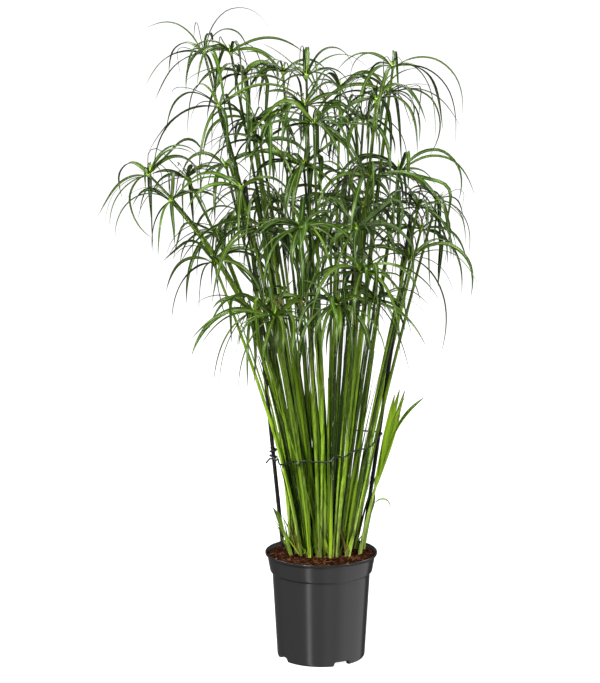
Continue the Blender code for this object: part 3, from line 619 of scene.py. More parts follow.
def read_growth(corners, near):
    """The centre line from the foot up, and the bracts, of one grown solid."""
    foot = np.zeros(len(corners), bool)
    foot[np.argsort(corners[:, 2])[:STRAND_CORNERS]] = True
    line = np.array([corners[ring].mean(0) for ring in walk_rings(near, foot, STRAND_CORNERS)])
    tips = np.flatnonzero((near.sum(0) == STRAND_CORNERS) & ~foot)
    return line, [read_bract(corners, near, tip) for tip in tips]


stem_names = sorted(name for name in frame["nodes"] if name.startswith("stem_"))
stems = {name: read_growth(*merged(name)) for name in stem_names}
print(len(stems), "stems with", sum(len(bracts) for _, bracts in stems.values()), "bracts")

# %% [markdown]
# ## Folded leaf blades
# A cyperus leaf is a long flat ribbon, folded along its midrib, widest near a
# quarter of its length and drawn out to a hair-thin point. A flat strip with a
# Solidify modifier would come close, but without the fold that catches the
# light. Each blade here is eight corners carried along its path: five over
# the top from edge to edge and three under it, the middle one being the keel.
# A slow twist along the path gives every blade its own glint.

# %% Rings of a folded blade
BLADE_ROWS = 17
ACROSS = np.array([-1, -0.5, 0, 0.5, 1, 0.5, 0, -0.5])
SKIN = np.array([0, 0.8, 1, 0.8, 0, -0.8, -1.9, -0.8])
SIDE_NOTE = np.array([0, 1, 1, 1, 0, -1, -1, -1])
SKIN_THICKNESS = 0.00018
FULL_SKIN_FROM = 0.0016
FOLD = 0.62
FOLD_EASES = 0.6
SWELL_POWER = 0.8
TAPER_POWER = 0.85
LAST_WIDTH_AT = 0.985
ROLLED_BY = 0.15
TWIST_POWER = 1.4
TIP_POINT = 0.0012
CROWN_OUTLINE = (0.55, 0.22, 3)


def blade_outline(share, root, widest, fullness):
    """Half-width share: it swells from the root's share up to the widest place,
    then falls as (1 - share^fullness)^power to a point."""
    swell = root + (1 - root) * np.clip(share / widest, 0, 1) ** SWELL_POWER
    return swell * (1 - share ** fullness) ** TAPER_POWER


def blade_block(paths, ups, widths, rolls, twists, tones, material=None, outline=CROWN_OUTLINE):
    """Folded blades along paths (blade, row, xyz): each half lies out sideways
    by its width and rises by the fold, which eases towards the tip. A blade is
    rolled over near its root and twists on by its own amount to the tip."""
    share = np.linspace(0, 1, BLADE_ROWS)[None]
    ahead = unit(np.gradient(paths, axis=1))
    flat = unit(np.cross(ahead, ups))
    rise = np.cross(flat, ahead)
    roll = rolls[:, None] * np.clip(share / ROLLED_BY, 0, 1)
    turn = (roll + twists[:, None] * share ** TWIST_POWER)[..., None]
    sideways = flat * np.cos(turn) + rise * np.sin(turn)
    upwards = rise * np.cos(turn) - flat * np.sin(turn)
    half = widths[:, None] / 2 * blade_outline(np.minimum(share, LAST_WIDTH_AT), *outline)
    out = half[..., None] * ACROSS
    fold = FOLD * (1 - FOLD_EASES * share)[..., None]
    skin = SKIN_THICKNESS * SKIN * np.minimum(1, half / FULL_SKIN_FROM)[..., None]
    lift = fold * np.abs(out) + skin
    rings = (paths[:, :, None] + out[..., None] * sideways[:, :, None]
             + lift[..., None] * upwards[:, :, None])
    place = np.stack(np.broadcast_arrays(share[..., None], ACROSS, SIDE_NOTE), -1)
    tips = paths[:, -1] + ahead[:, -1] * TIP_POINT
    return strand_block(rings, paths[:, 0], tips, place, tones, material or leaf_green)


print("a blade has", len(ring_faces(1, BLADE_ROWS, len(ACROSS))), "faces")

# %% [markdown]
# ## Bracts as fine paths
# The bracts of a solid have few knots and sharp bends, while a real leaf is
# one even arch. Subdividing the solid would round it but also shrink it.
# So each bract's knots become a smooth path that keeps its tip, with a touch
# of arch and sway that no two leaves share.

# %% A fine path for each bract
ARCH_UP = 0.07
TIP_DROOP = 0.05
SWAY = 0.02


def fine_path(knots, ups):
    """A bract's smooth path, a touch uneven, and its upward guides. It is raised
    by ARCH_UP sin(pi share) - TIP_DROOP share^2 and sways by a sine, both times
    the bract's length."""
    chords = np.linalg.norm(np.diff(knots, axis=0), axis=1)
    along = np.concatenate(([0], np.cumsum(chords))) / chords.sum()
    share = np.linspace(0, 1, BLADE_ROWS)
    guides = rows_at(share, along, ups)
    sway = SWAY * np.sin(share * chance.uniform(3, 7) + chance.uniform(0, 6)) * share
    flat = unit(np.cross(knots[-1] - knots[0], guides.mean(0)))
    arch = ARCH_UP * np.sin(np.pi * share) - TIP_DROOP * share ** 2
    off = sway[:, None] * flat + arch[:, None] * np.array((0, 0, 1))
    return smooth_path(knots, BLADE_ROWS) + chords.sum() * off, guides


print("a leaf arches by", ARCH_UP, "of its length")

# %% [markdown]
# ## More leaves for a crown
# The solids carry the six to ten bracts of each crown that shape its outline.
# A real crown has more, with some of them hair-thin. Copies of one crown
# would look alike, so every further leaf is a new arch: it leaves the hub
# upwards, turns over evenly or at one kink, hangs, and drifts a little to the
# side. It is shortened until it stays in the reach of the crown's own solid.

# %% A hanging arch
BLADE_RISES = (-14, 56)
THREAD_RISES = (10, 70)
FALLS_BY = (80, 170)
STEEPEST_FALL = -98
BEND_POWERS = (0.5, 1.3)
KINKED = 0.4
KINK_STARTS = (0.05, 0.4)
KINK_LENGTHS = (0.15, 0.45)
DRIFT = 0.6
DRIFT_POWER = 1.5
BLADE_LENGTHS = (0.070, 0.155)
THREAD_LENGTHS = (0.070, 0.130)
SPARE_ROOM = 0.001
SHORTER = 0.9


def hanging_arch(hub, azimuth, reach, thread):
    """A path whose steepness falls from its rise to its fall as share^power, or
    all at one kink, and whose heading drifts as share^1.5; steps are summed up."""
    share = np.linspace(0, 1, BLADE_ROWS)
    rise = chance.uniform(*(THREAD_RISES if thread else BLADE_RISES))
    fall = max(rise - chance.uniform(*FALLS_BY), STEEPEST_FALL)
    bend = share ** chance.uniform(*BEND_POWERS)
    if chance.random() < KINKED:
        bend = (share - chance.uniform(*KINK_STARTS)) / chance.uniform(*KINK_LENGTHS)
        bend = np.clip(bend, 0, 1)
        bend = bend ** 2 * (3 - 2 * bend)
    steep = np.radians(rise + (fall - rise) * bend)
    heading = azimuth + chance.normal(0, DRIFT) * share ** DRIFT_POWER
    ahead = pointing(heading, steep)
    ups = pointing(heading, steep + np.pi / 2)
    arms = np.concatenate((np.zeros((1, 3)), np.cumsum(ahead[:-1], axis=0))) / (BLADE_ROWS - 1)
    arms *= chance.uniform(*(THREAD_LENGTHS if thread else BLADE_LENGTHS))
    arms *= min(1, reach / np.linalg.norm(arms, axis=1).max())
    low, high = np.array(solid_box) + np.array([[-SPARE_ROOM], [SPARE_ROOM]])
    while ((hub + arms < low) | (hub + arms > high)).any():
        arms = arms * SHORTER
    return hub + arms, ups


print("arches may pass the solids' box by", SPARE_ROOM, "m")

# %% [markdown]
# ## Filling a crown
# Leaves of one crown spread all round it and rarely lie on one another. Even
# spacing would look like a wheel. Instead the widest gap round the hub is
# found again and again, and a leaf goes near the middle of it.

# %% Fill the gaps of a crown
CROWN_BLADES = (11, 17)
CROWN_THREADS = (2, 5)
SOLID_WIDTHS = (0.0030, 0.0050, 0.0090)
FINE_WIDTHS = (0.0023, 0.0048, 0.0086)
THREAD_WIDTHS = (0.0014, 0.0021)
SLIM_WIDTH = 0.0026
WIDTH_SPAN = 0.0062
WIDTH_POWER = 1.3
OFF_MIDDLE = 0.3


def azimuth_of(path, hub):
    """The direction of the first part of a bract round its hub."""
    out = path[len(path) // 3] - hub
    return math.atan2(out[1], out[0])


def widest_gap(azimuths):
    """The middle of the widest gap round the circle, and its width."""
    ordered = np.sort(np.mod(azimuths, 2 * np.pi))
    gaps = np.diff(np.append(ordered, ordered[0] + 2 * np.pi))
    return ordered[gaps.argmax()] + gaps.max() / 2, gaps.max()


def leaf_width(thread):
    """A thread is hair-thin, and few blades are broad: slim + span * chance^1.3."""
    if thread:
        return chance.uniform(*THREAD_WIDTHS)
    return SLIM_WIDTH + WIDTH_SPAN * chance.random() ** WIDTH_POWER


def fill_crown(hub, bracts, extra):
    """Paths, guides and widths of the blades and threads of one crown."""
    fine = [fine_path(knots, ups) for knots, ups, _ in bracts]
    widths = [np.interp(width, SOLID_WIDTHS, FINE_WIDTHS) for _, _, width in bracts]
    azimuths = [azimuth_of(path, hub) for path, _ in fine]
    reach = max(np.linalg.norm(path - hub, axis=1).max() for path, _ in fine)
    blades = max(len(bracts), chance.integers(*CROWN_BLADES) + extra)
    threads = chance.integers(*CROWN_THREADS)
    for number in range(len(bracts), blades + threads):
        azimuth, gap = widest_gap(azimuths)
        azimuth = azimuth + chance.uniform(-OFF_MIDDLE, OFF_MIDDLE) * gap
        fine.append(hanging_arch(hub, azimuth, reach, number >= blades))
        widths.append(leaf_width(number >= blades))
        azimuths.append(azimuth)
    paths, guides = (np.array(part) for part in zip(*fine))
    return paths, guides, np.array(widths)


print("the widest gap of three even leaves is", round(widest_gap([0.0, 2.1, 4.2])[1], 2), "radians")

# %% [markdown]
# ## The star of new leaves
# In the middle of a crown a few short, bright new leaves stand up. They could
# be left out at this size, but their glints make the crown's heart. They are
# straight arms round the hub, turned by the golden angle like real leaves, so
# none hides behind another.

# %% Star of new leaves
STAR_LEAVES = 6
STAR_LENGTHS = (0.010, 0.026)
STAR_LIFTS = (0.5, 1.2)
STAR_WIDTHS = (0.0018, 0.0030)
STAR_BEND = 0.15
STAR_TONE = (0.9, 0.95, 0.0)
GOLDEN_TURN = 2.4


def straight_arms(hub, count, lengths, lifts, bend):
    """Paths that leave the hub at their own lift and sink by bend * share^2."""
    share = np.linspace(0, 1, BLADE_ROWS)[None, :, None]
    azimuths = np.arange(count) * GOLDEN_TURN + chance.uniform(0, 6)
    out = pointing(azimuths, lifts)[:, None]
    arms = lengths[:, None, None] * (out * share - np.array((0, 0, bend)) * share ** 2)
    ups = np.cross(np.cross(out, (0, 0, 1.0)), out) + 0 * share
    return hub + arms, unit(ups)


def star_block(hub):
    """Short bright leaves that stand up in the middle of a crown."""
    lengths = chance.uniform(*STAR_LENGTHS, STAR_LEAVES)
    lifts = chance.uniform(*STAR_LIFTS, STAR_LEAVES)
    paths, ups = straight_arms(hub, STAR_LEAVES, lengths, lifts, STAR_BEND)
    tones = np.tile(STAR_TONE, (STAR_LEAVES, 1))
    widths = chance.uniform(*STAR_WIDTHS, STAR_LEAVES)
    return blade_block(paths, ups, widths, np.zeros(STAR_LEAVES), np.zeros(STAR_LEAVES), tones)


print("a star has", STAR_LEAVES, "leaves")

# %% [markdown]
# ## Knots and flower heads
# Where the leaves meet, a crown has a small yellow-green knot, and some
# crowns flower: short thin rays, each with a few flat brown spikelets on its
# end. A sphere would do for a knot, but a spindle, a tube that swells and
# closes, serves the knot, the spikelets and later the crumbs of soil.

# %% Spindles and the knot
SPINDLE_ENDS = (0.08, 0.92)
SPINDLE_ROWS = 5
SPINDLE_SIDES = 6
SPINDLE_GUIDE = (0.3, 0.9, 0.2)
SPINDLE_PLACE = np.array((0.5, 0.0, 0.5))
KNOT_LENGTH = 0.010
KNOT_RADIUS = 0.0036
KNOT_SIDES = 10
KNOT_TONE = (0.5, 0.5, 0.0)


def spindle_block(centres, axes, lengths, radii, tones, material, sides=SPINDLE_SIDES):
    """Round-ended spindles: the radius follows the square root of sin, and each
    closes a little beyond its end rings."""
    share = np.linspace(*SPINDLE_ENDS, SPINDLE_ROWS)[None, :, None]
    paths = centres[:, None] + axes[:, None] * lengths[:, None, None] * (share - 0.5)
    swell = radii[:, None] * np.sqrt(np.sin(np.pi * share[..., 0]))
    guide = np.cross(axes, SPINDLE_GUIDE)[:, None]
    rings = round_tubes(paths, swell, sides, guide)
    ends = axes * lengths[:, None] * 0.5
    return strand_block(rings, centres - ends, centres + ends, SPINDLE_PLACE, tones, material)


def knot_block(hub, axis):
    """The green knot that carries the leaves."""
    return spindle_block(hub[None], axis[None], np.array((KNOT_LENGTH,)), np.array((KNOT_RADIUS,)),
                         np.array((KNOT_TONE,)), leaf_green, KNOT_SIDES)


print("a knot is", KNOT_LENGTH, "m tall")

# %% Flower head
RAYS = 7
RAY_LENGTHS = (0.014, 0.038)
RAY_LIFTS = (0.4, 1.3)
RAY_WIDTH = 0.0009
RAY_BEND = 0.2
RAY_TONE = (0.7, 0.35, 0.0)
SPIKELETS_PER_RAY = 5
SPIKELET_LENGTHS = (0.0035, 0.0065)
SPIKELET_RADII = (0.0006, 0.0009)
SPIKELET_SPREAD = 0.55
RAY_PULL = 60
SPIKELET_TONE = (0.25, 0.0, 0.0)


def flower_blocks(hub):
    """Thin rays with a small bunch of brown spikelets on each, which point on
    along the ray, give or take a random spread."""
    lengths = chance.uniform(*RAY_LENGTHS, RAYS)
    paths, ups = straight_arms(hub, RAYS, lengths, chance.uniform(*RAY_LIFTS, RAYS), RAY_BEND)
    tones = np.tile(RAY_TONE, (RAYS, 1))
    yield blade_block(paths, ups, np.full(RAYS, RAY_WIDTH), np.zeros(RAYS), np.zeros(RAYS), tones)
    ends = np.repeat(paths[:, -1], SPIKELETS_PER_RAY, axis=0)
    along = np.repeat(paths[:, -1] - paths[:, -4], SPIKELETS_PER_RAY, axis=0) * RAY_PULL
    axes = unit(along + chance.normal(0, SPIKELET_SPREAD, ends.shape))
    lengths = chance.uniform(*SPIKELET_LENGTHS, len(ends))
    radii = chance.uniform(*SPIKELET_RADII, len(ends))
    tones = np.tile(SPIKELET_TONE, (len(ends), 1))
    yield spindle_block(ends + axes * lengths[:, None] / 2, axes, lengths, radii, tones, sheath_brown)


print("a flower head has", RAYS * SPIKELETS_PER_RAY, "spikelets")

# %% [markdown]
# ## Standing leaves
# One crown near the top has broad leaves that still stand up and only then
# fold over backwards, and they show as a dark stub above the clump. They
# could be drawn by chance like the others, but they are seen too well for
# that, so their leans, heights and widths are given one by one.

# %% Standing leaves of one crown
STANDING_CROWN = "stem_05"
STANDING_LEANS = ((0.002, 0.012), (-0.003, 0.020), (0.004, 0.032))
STANDING_HEIGHTS = (0.044, 0.041, 0.036)
STANDING_WIDTHS = (0.0085, 0.0090, 0.0070)
STANDING_REACH = 1.35
STANDING_TWISTS = (0.2, -0.3, 0.4)
STANDING_TONES = ((0.5, 0.0, 0.0), (0.1, 0.0, 0.0), (0.7, 0.1, 0.0))
FOLDS_OVER_FROM = 0.62
FOLDS_BACK_BY = 0.030
FOLDS_DOWN_BY = 0.75


def standing_block(hub):
    """Broad leaves that stand up from a crown, then fold over backwards: the
    fold is ((share - from) / (1 - from))^2, back and down."""
    count = len(STANDING_HEIGHTS)
    share = np.linspace(0, 1, BLADE_ROWS)[None, :, None]
    leans = np.array(STANDING_LEANS)[:, None]
    over = np.clip((share - FOLDS_OVER_FROM) / (1 - FOLDS_OVER_FROM), 0, 1) ** 2
    aside = leans[..., :1] * share
    back = leans[..., 1:] * share + FOLDS_BACK_BY * over
    heights = np.array(STANDING_HEIGHTS)[:, None, None]
    up = heights * (share * STANDING_REACH - FOLDS_DOWN_BY * over)
    paths = hub + np.concatenate((aside, back, up), -1)
    ups = np.tile((0.0, -1.0, 0.3), (count, BLADE_ROWS, 1))
    return blade_block(paths, unit(ups), np.array(STANDING_WIDTHS), np.zeros(count),
                       np.array(STANDING_TWISTS), np.array(STANDING_TONES))


print(STANDING_CROWN, "has", len(STANDING_HEIGHTS), "standing leaves")

# %% [markdown]
# ## Stem tubes
# A cyperus stem is leafless, bluntly three-sided and finely grooved. A plain
# cylinder would miss its flat glints, so it is one tube along the line read
# from the solid, with a ripple of three low ribs round it.

# %% Stem tube
STEM_ROWS = 26
STEM_SIDES = 16
STEM_FOOT_RADIUS = 0.0030
STEM_TOP_RADIUS = 0.0018
STEM_RIPPLE = 0.10
UP_GUIDE = np.array((1.0, 0.0, 0.0))


def stem_block(path, tone):
    """The stem: its radius falls evenly from foot to crown."""
    radii = np.linspace(STEM_FOOT_RADIUS, STEM_TOP_RADIUS, len(path))[None]
    return tube_block(path[None], radii, STEM_SIDES, UP_GUIDE, tone, stem_green, STEM_RIPPLE)


print("a stem narrows from", 2 * STEM_FOOT_RADIUS, "to", 2 * STEM_TOP_RADIUS, "m")

# %% [markdown]
# ## Sheaths
# At a stem's foot papery sheaths clasp it, torn to a slanting point at the
# top. A sheet wrapped round the stem would need a Boolean cut for its point.
# A slightly wider tube does without: its last rings are cut on a slant and
# tucked into the stem, so it is closed.

# %% Sheath tube
SHEATH_SHARES = np.array((0.0, 0.25, 0.5, 0.7, 0.85, 1.0, 1.0, 0.9))
SHEATH_RADII = np.array((0.0036, 0.0037, 0.0035, 0.0034, 0.0033, 0.0032, 0.0030, 0.0020))
SLANT_REACH = 0.75
SLANT_POWER = 0.6
SHEATH_TUCK = 0.3


def sheath_block(path, low, high, turn, tone):
    """A sheath between two shares of the stem. Its rim is lowered, away from
    turn, by SLANT_REACH * (1 - ((cos(a - turn) + 1) / 2)^power) of its length,
    and its height note runs from 0 at its foot to 1 at its rim."""
    share = SHEATH_SHARES
    at = (low + (high - low) * share) * (len(path) - 1)
    centre = rows_at(at, np.arange(len(path)), path)[None]
    rings = round_tubes(centre, SHEATH_RADII[None], STEM_SIDES, UP_GUIDE)
    angle = np.arange(STEM_SIDES) * 2 * np.pi / STEM_SIDES
    reach = np.linalg.norm(path[-1] - path[0]) * (high - low)
    facing = ((np.cos(angle - turn) + 1) / 2) ** SLANT_POWER
    rings[..., 2] += reach * SLANT_REACH * (facing - 1) * (share ** 2)[:, None]
    place = np.stack(np.broadcast_arrays(1.0, 0.0, share[None, :, None] + 0 * angle), -1)
    last = centre[:, -1] - np.array((0, 0, reach * SHEATH_TUCK))
    return strand_block(rings, centre[:, 0], last, place, tone, sheath_brown)


print("a sheath is at most", 2 * SHEATH_RADII.max(), "m thick")

# %% [markdown]
# ## Leaves at the foot
# Round its foot a stem has a few narrow pointed leaves that stand up from the
# soil, and the odd one has dried. They could be a tuft copied from stem to
# stem, but the copies would show in so dense a clump. The straight arms of
# the star serve again, longer and steeper.

# %% Leaves at the foot
BASAL_LEAVES = 5
BASAL_LENGTHS = (0.020, 0.090)
BASAL_LIFTS = (54, 88)
BASAL_BENDS = (0.0, 0.12)
BASAL_WIDTHS = (0.003, 0.0065)
BASAL_ROLLS = (-1.2, 1.2)
BASAL_YOUTH = (0.45, 0.3)
BASAL_DRY_SHARE = 0.2
BASAL_DRYNESS = 0.7
SUNK = (0, 0, -0.004)


def basal_block(foot):
    """Narrow pointed leaves that stand up round the foot of a stem."""
    count = BASAL_LEAVES
    lengths = chance.uniform(*BASAL_LENGTHS, count)
    lifts = np.radians(chance.uniform(*BASAL_LIFTS, count))
    paths, ups = straight_arms(foot + np.array(SUNK), count, lengths, lifts,
                               chance.uniform(*BASAL_BENDS))
    shade = chance.uniform(0, 1, count)
    youth = np.clip(chance.normal(*BASAL_YOUTH, count), 0, 1)
    dryness = np.where(chance.random(count) < BASAL_DRY_SHARE, BASAL_DRYNESS, 0)
    return blade_block(paths, ups, chance.uniform(*BASAL_WIDTHS, count),
                       chance.uniform(*BASAL_ROLLS, count), np.zeros(count),
                       np.stack((shade, youth, dryness), -1))


print(BASAL_LEAVES, "leaves stand round each foot")

# %% [markdown]
# ## Companions and clasping leaves
# Between the grown stems stand thinner ones that have not opened yet, and
# long narrow leaves that clasp a stem and lean out only at their tips. Each
# could have a line of its own, but it would have to miss all other stems.
# They follow the line of the stem they stand beside instead, a little off it.

# %% Companions
COMPANIONS = 1
COMPANION_ENDS = (0.25, 0.80)
COMPANION_LEANS = (0.004, 0.016)
COMPANION_RADII = (0.0012, 0.0022)
COMPANION_NARROWS = 0.7
COMPANION_SIDES = 10
COMPANION_RIPPLE = 0.12
COMPANION_YOUTH = (0.40, 0.45)
CLOSEST = 1.3


def paths_beside(path, ends, lean, power):
    """Paths that follow the stem up to a share of it, a little beside it, and
    lean away from it by lean * share^power; also the way they lean."""
    share = np.linspace(0, 1, BLADE_ROWS)
    line = rows_at(ends[:, None] * share * (len(path) - 1), np.arange(len(path)), path)
    arm = pointing(chance.uniform(0, 2 * np.pi, len(ends)), 0.0)[:, None]
    away = STEM_FOOT_RADIUS * CLOSEST + lean[:, None] * share ** power
    sunk = np.array(SUNK) * (1 - share)[:, None]
    return line + away[..., None] * arm + sunk, arm


def companion_block(path):
    """Young stems that stand beside the old one and have not opened yet: their
    radius falls as 1 - COMPANION_NARROWS * share^3."""
    count = COMPANIONS
    ends = chance.uniform(*COMPANION_ENDS, count)
    paths, _ = paths_beside(path, ends, chance.uniform(*COMPANION_LEANS, count), 1.0)
    thick = chance.uniform(*COMPANION_RADII, count)[:, None]
    radii = thick * (1 - COMPANION_NARROWS * np.linspace(0, 1, BLADE_ROWS) ** 3)
    tones = np.stack((chance.random(count), chance.beta(*COMPANION_YOUTH, count), np.zeros(count)), -1)
    return tube_block(paths, radii, COMPANION_SIDES, UP_GUIDE, tones, stem_green, COMPANION_RIPPLE)


print("each stem has", COMPANIONS, "companion")

# %% Clasping leaves
CLASPING_LEAVES = 3
CLASPING_ENDS = (0.15, 0.74)
CLASPING_LEANS = (0.003, 0.018)
CLASPING_LEAN_POWER = 2.2
CLASPING_WIDTHS = (0.0022, 0.0052)
CLASPING_ROLLS = (-1.3, 1.3)
CLASPING_TWIST = 0.5
CLASPING_YOUTH = (0.50, 0.55)


def clasping_block(path):
    """Long narrow leaves that stand up along the stem and lean out at their tips."""
    count = CLASPING_LEAVES
    paths, arm = paths_beside(path, chance.uniform(*CLASPING_ENDS, count),
                              chance.uniform(*CLASPING_LEANS, count), CLASPING_LEAN_POWER)
    tones = np.stack((chance.random(count), chance.beta(*CLASPING_YOUTH, count), np.zeros(count)), -1)
    return blade_block(paths, np.broadcast_to(-arm, paths.shape),
                       chance.uniform(*CLASPING_WIDTHS, count), chance.uniform(*CLASPING_ROLLS, count),
                       chance.normal(0, CLASPING_TWIST, count), tones)


print("each stem has", CLASPING_LEAVES, "clasping leaves")

# %% [markdown]
# ## How full a crown is
# Crowns at the top and at the sides of the clump are airy, while those in its
# middle make one dense mass of leaves. The same number everywhere would be
# simpler, but it gives a bare middle or a heavy rim. So the number of leaves
# follows from where the hub stands. Leaves also roll over as they hang, and
# most of them show their upper face to the front.

# %% Fullness of a crown
TOP_FROM = 0.84
SIDE_FROM = 0.19
OUTSIDE_EXTRA = -4
MIDDLE_TO_SIDE = (0.05, 0.13)
MIDDLE_TO_SIDE_EXTRA = (6, -3)
LOW_BELOW = 0.64
LOW_WITHIN = 0.08
LOW_MIDDLE_EXTRA = 8


def extra_blades(hub):
    """How many blades a crown has beyond the usual, from where its hub is."""
    side = abs(hub[0])
    if hub[2] > TOP_FROM or side > SIDE_FROM:
        extra = OUTSIDE_EXTRA
    else:
        extra = int(np.interp(side, MIDDLE_TO_SIDE, MIDDLE_TO_SIDE_EXTRA).round())
    low_middle = hub[2] < LOW_BELOW and side < LOW_WITHIN
    return extra + (LOW_MIDDLE_EXTRA if low_middle else 0)


print("a hub at 0.5 m in the middle gets", extra_blades((0.0, 0.0, 0.5)), "extra blades")

# %% Rolls and tones of a crown
FACE_FORWARD_SHARE = 0.68
ROLL_MOST = 0.95
ROLL_CHANGE = 0.25
CROWN_SHADES = (0.18, 0.38)
CROWN_YOUTHS = (0.02, 0.05)
YOUTH_SHARE = 0.35


def roll_over(paths, most):
    """How far blades roll over: most to the sides, least to front and back, and
    two in three of them show their upper face to the front."""
    out = unit(paths[:, -1] - paths[:, 0])
    way = np.where(chance.random(len(paths)) < FACE_FORWARD_SHARE, -1, 1)
    return most * out[:, 0] * way + chance.normal(0, ROLL_CHANGE, len(paths))


def leaf_tones(count, youth):
    """Shade, youth and no dryness for each blade of a crown."""
    shade = np.clip(chance.normal(*CROWN_SHADES, count), 0, 1)
    young = np.clip(youth * YOUTH_SHARE + chance.normal(*CROWN_YOUTHS, count), 0, 1)
    return np.stack((shade, young, np.zeros(count)), -1)


print("share of the leaves that face the front:", FACE_FORWARD_SHARE)

# %% [markdown]
# ## All the stems
# Every stem gets its own mixture: some stems are young and bright, others are
# old and dark. The random numbers are drawn from one seeded source, so the
# plant is the same each time. Each stem with all that grows on it is one
# piece and takes the place of its own solid.

# %% What grows at the foot and at the crown
SHEATH_TOPS = (0.02, 0.10)
SHEATH_SHADE_MOST = 0.7
SHEATH_YOUTH_POWER = 0.6
YOUNG_BELOW = 0.72
YOUNG_PER_METRE = 1.6
YOUNG_MOST = 0.6
TWIST_CHANGE = 0.6
THREAD_BELOW = 0.0024


def foot_blocks(path, youth):
    """What stands at the foot of a stem and along it."""
    high = chance.uniform(*SHEATH_TOPS)
    turn = chance.uniform(0, 2 * np.pi)
    shade = chance.random() * SHEATH_SHADE_MOST
    young = chance.random() ** SHEATH_YOUTH_POWER * youth
    yield sheath_block(path, 0.0, high, turn, np.array(((shade, young, 0.0),)))
    yield basal_block(path[0])
    yield companion_block(path)
    yield clasping_block(path)


def crown_blocks(hub, bracts):
    """The blades and the threads of a crown; low crowns are younger."""
    low = float(np.clip((YOUNG_BELOW - hub[2]) * YOUNG_PER_METRE, 0, YOUNG_MOST))
    youth = low * chance.random()
    paths, ups, widths = fill_crown(hub, bracts, extra_blades(hub))
    twists = chance.normal(0, TWIST_CHANGE, len(paths))
    rolls = roll_over(paths, ROLL_MOST)
    tones = leaf_tones(len(paths), youth)
    broad = widths >= THREAD_BELOW
    for some, material in ((broad, leaf_green), (~broad, thread_dark_and_shade)):
        if some.any():
            yield blade_block(paths[some], ups[some], widths[some], rolls[some], twists[some],
                              tones[some], material)


print("leaves under", THREAD_BELOW, "m wide are threads")

# %% Grow every stem
HUB_ABOVE_LINE = 0.002
STEM_YOUTH = (0.50, 0.42)
FLOWERING = 8
FIRST_FLOWERING = 6


def grow_stem(name, number):
    """The blocks of one stem, from its sheaths to its crown."""
    line, bracts = stems[name]
    axis = unit(line[-1] - line[-2])
    hub = line[-1] + axis * HUB_ABOVE_LINE
    youth = float(chance.beta(*STEM_YOUTH))
    path = smooth_path(line, STEM_ROWS)
    yield stem_block(path, np.array(((chance.random(), youth, 0.0),)))
    yield knot_block(hub, axis)
    yield from foot_blocks(path, youth)
    yield from crown_blocks(hub, bracts)
    yield star_block(hub)
    if number % FLOWERING == FIRST_FLOWERING:
        yield from flower_blocks(hub)
    if name == STANDING_CROWN:
        yield standing_block(hub)


triangles = 0
for number, name in enumerate(stem_names):
    blocks = list(grow_stem(name, number))
    triangles += count_triangles(make_piece(f"leafy_{name}", blocks, GREENS, [name]))
print(len(stem_names), "stems,", triangles, "triangles")

# %% [markdown]
# ## Young shoots
# New stems come up as tight yellow-green spears, and their leaves open from
# the outside. The tall one on the right shows a fan of leaves in two ranks.
# One cone would make a spear, but not a fan. The solid gives the spear's line
# and its opened leaves, and upright blades round the line make the bud.

# %% The bud of a shoot
TWO_RANKS = 3.2
ALL_ROUND = 2.4
FACE_FRONT = 1.2
SHOOT_OUTLINE = (0.25, 0.60, 7)
BUD_SIZES = (0.72, 1.0)
BUD_OPENS = (0.2, 1.0)
BUD_BULGE = 0.0012
BUD_WIDTHS = (0.85, 1.15)
BUD_SLIM = 0.0062
BUD_WIDER_BY = 0.38
BUD_TWIST = 0.25


def bud_block(hub, bud, count, opening, turn, tone):
    """Upright blades that lie round the line from the hub to the bud's tip and
    stand apart there by the opening, each by a turn after the one before. The
    blades of a bud in two ranks show their faces to the front."""
    arm = pointing(np.arange(count) * turn, 0.0)[:, None]
    share = np.linspace(0, 1, BLADE_ROWS)[None, :, None]
    size = chance.uniform(*BUD_SIZES, count)[:, None, None]
    open_out = np.linspace(*BUD_OPENS, count)[:, None, None] * opening
    spine = hub + (bud - hub) * share * size
    paths = spine + arm * (BUD_BULGE * np.sin(np.pi * share) + open_out * share)
    widths = np.linspace(*BUD_WIDTHS, count) * (BUD_SLIM + BUD_WIDER_BY * opening)
    rolls = np.full(count, FACE_FRONT if turn == TWO_RANKS else 0.0)
    return blade_block(paths, np.broadcast_to(-arm, paths.shape), widths, rolls,
                       chance.normal(0, BUD_TWIST, count), np.tile(tone, (count, 1)),
                       outline=SHOOT_OUTLINE)


print("a bud in two ranks turns", round(math.degrees(TWO_RANKS)), "degrees from leaf to leaf")

# %% Grow the shoots
SHOOT_BUDS = (("shoot_right", 6, 0.0095, TWO_RANKS, 2.20), ("shoot_left", 5, 0.0030, ALL_ROUND, 0.60),
              ("shoot_low", 5, 0.0030, ALL_ROUND, 0.60))
SHOOT_SHADE = 0.3
BUD_SHADE = 0.9
BUD_STARTS_BELOW = 8
OPEN_LEAF_WIDER = 1.15
OPEN_LEAF_TONE = (0.8, 0.85, 0.0)
OPEN_LEAF_ROLL = 1.1
OPEN_LEAF_TWIST = 0.2
CROWDED = 5


def read_shoot(node):
    """A shoot's line up to its hub, its opened leaves, and its bud's tip: the
    highest corner with more than five neighbours."""
    corners, near = merged(node)
    crowded = corners[near.sum(0) > CROWDED]
    return *read_growth(corners, near), crowded[np.argmax(crowded[:, 2])]


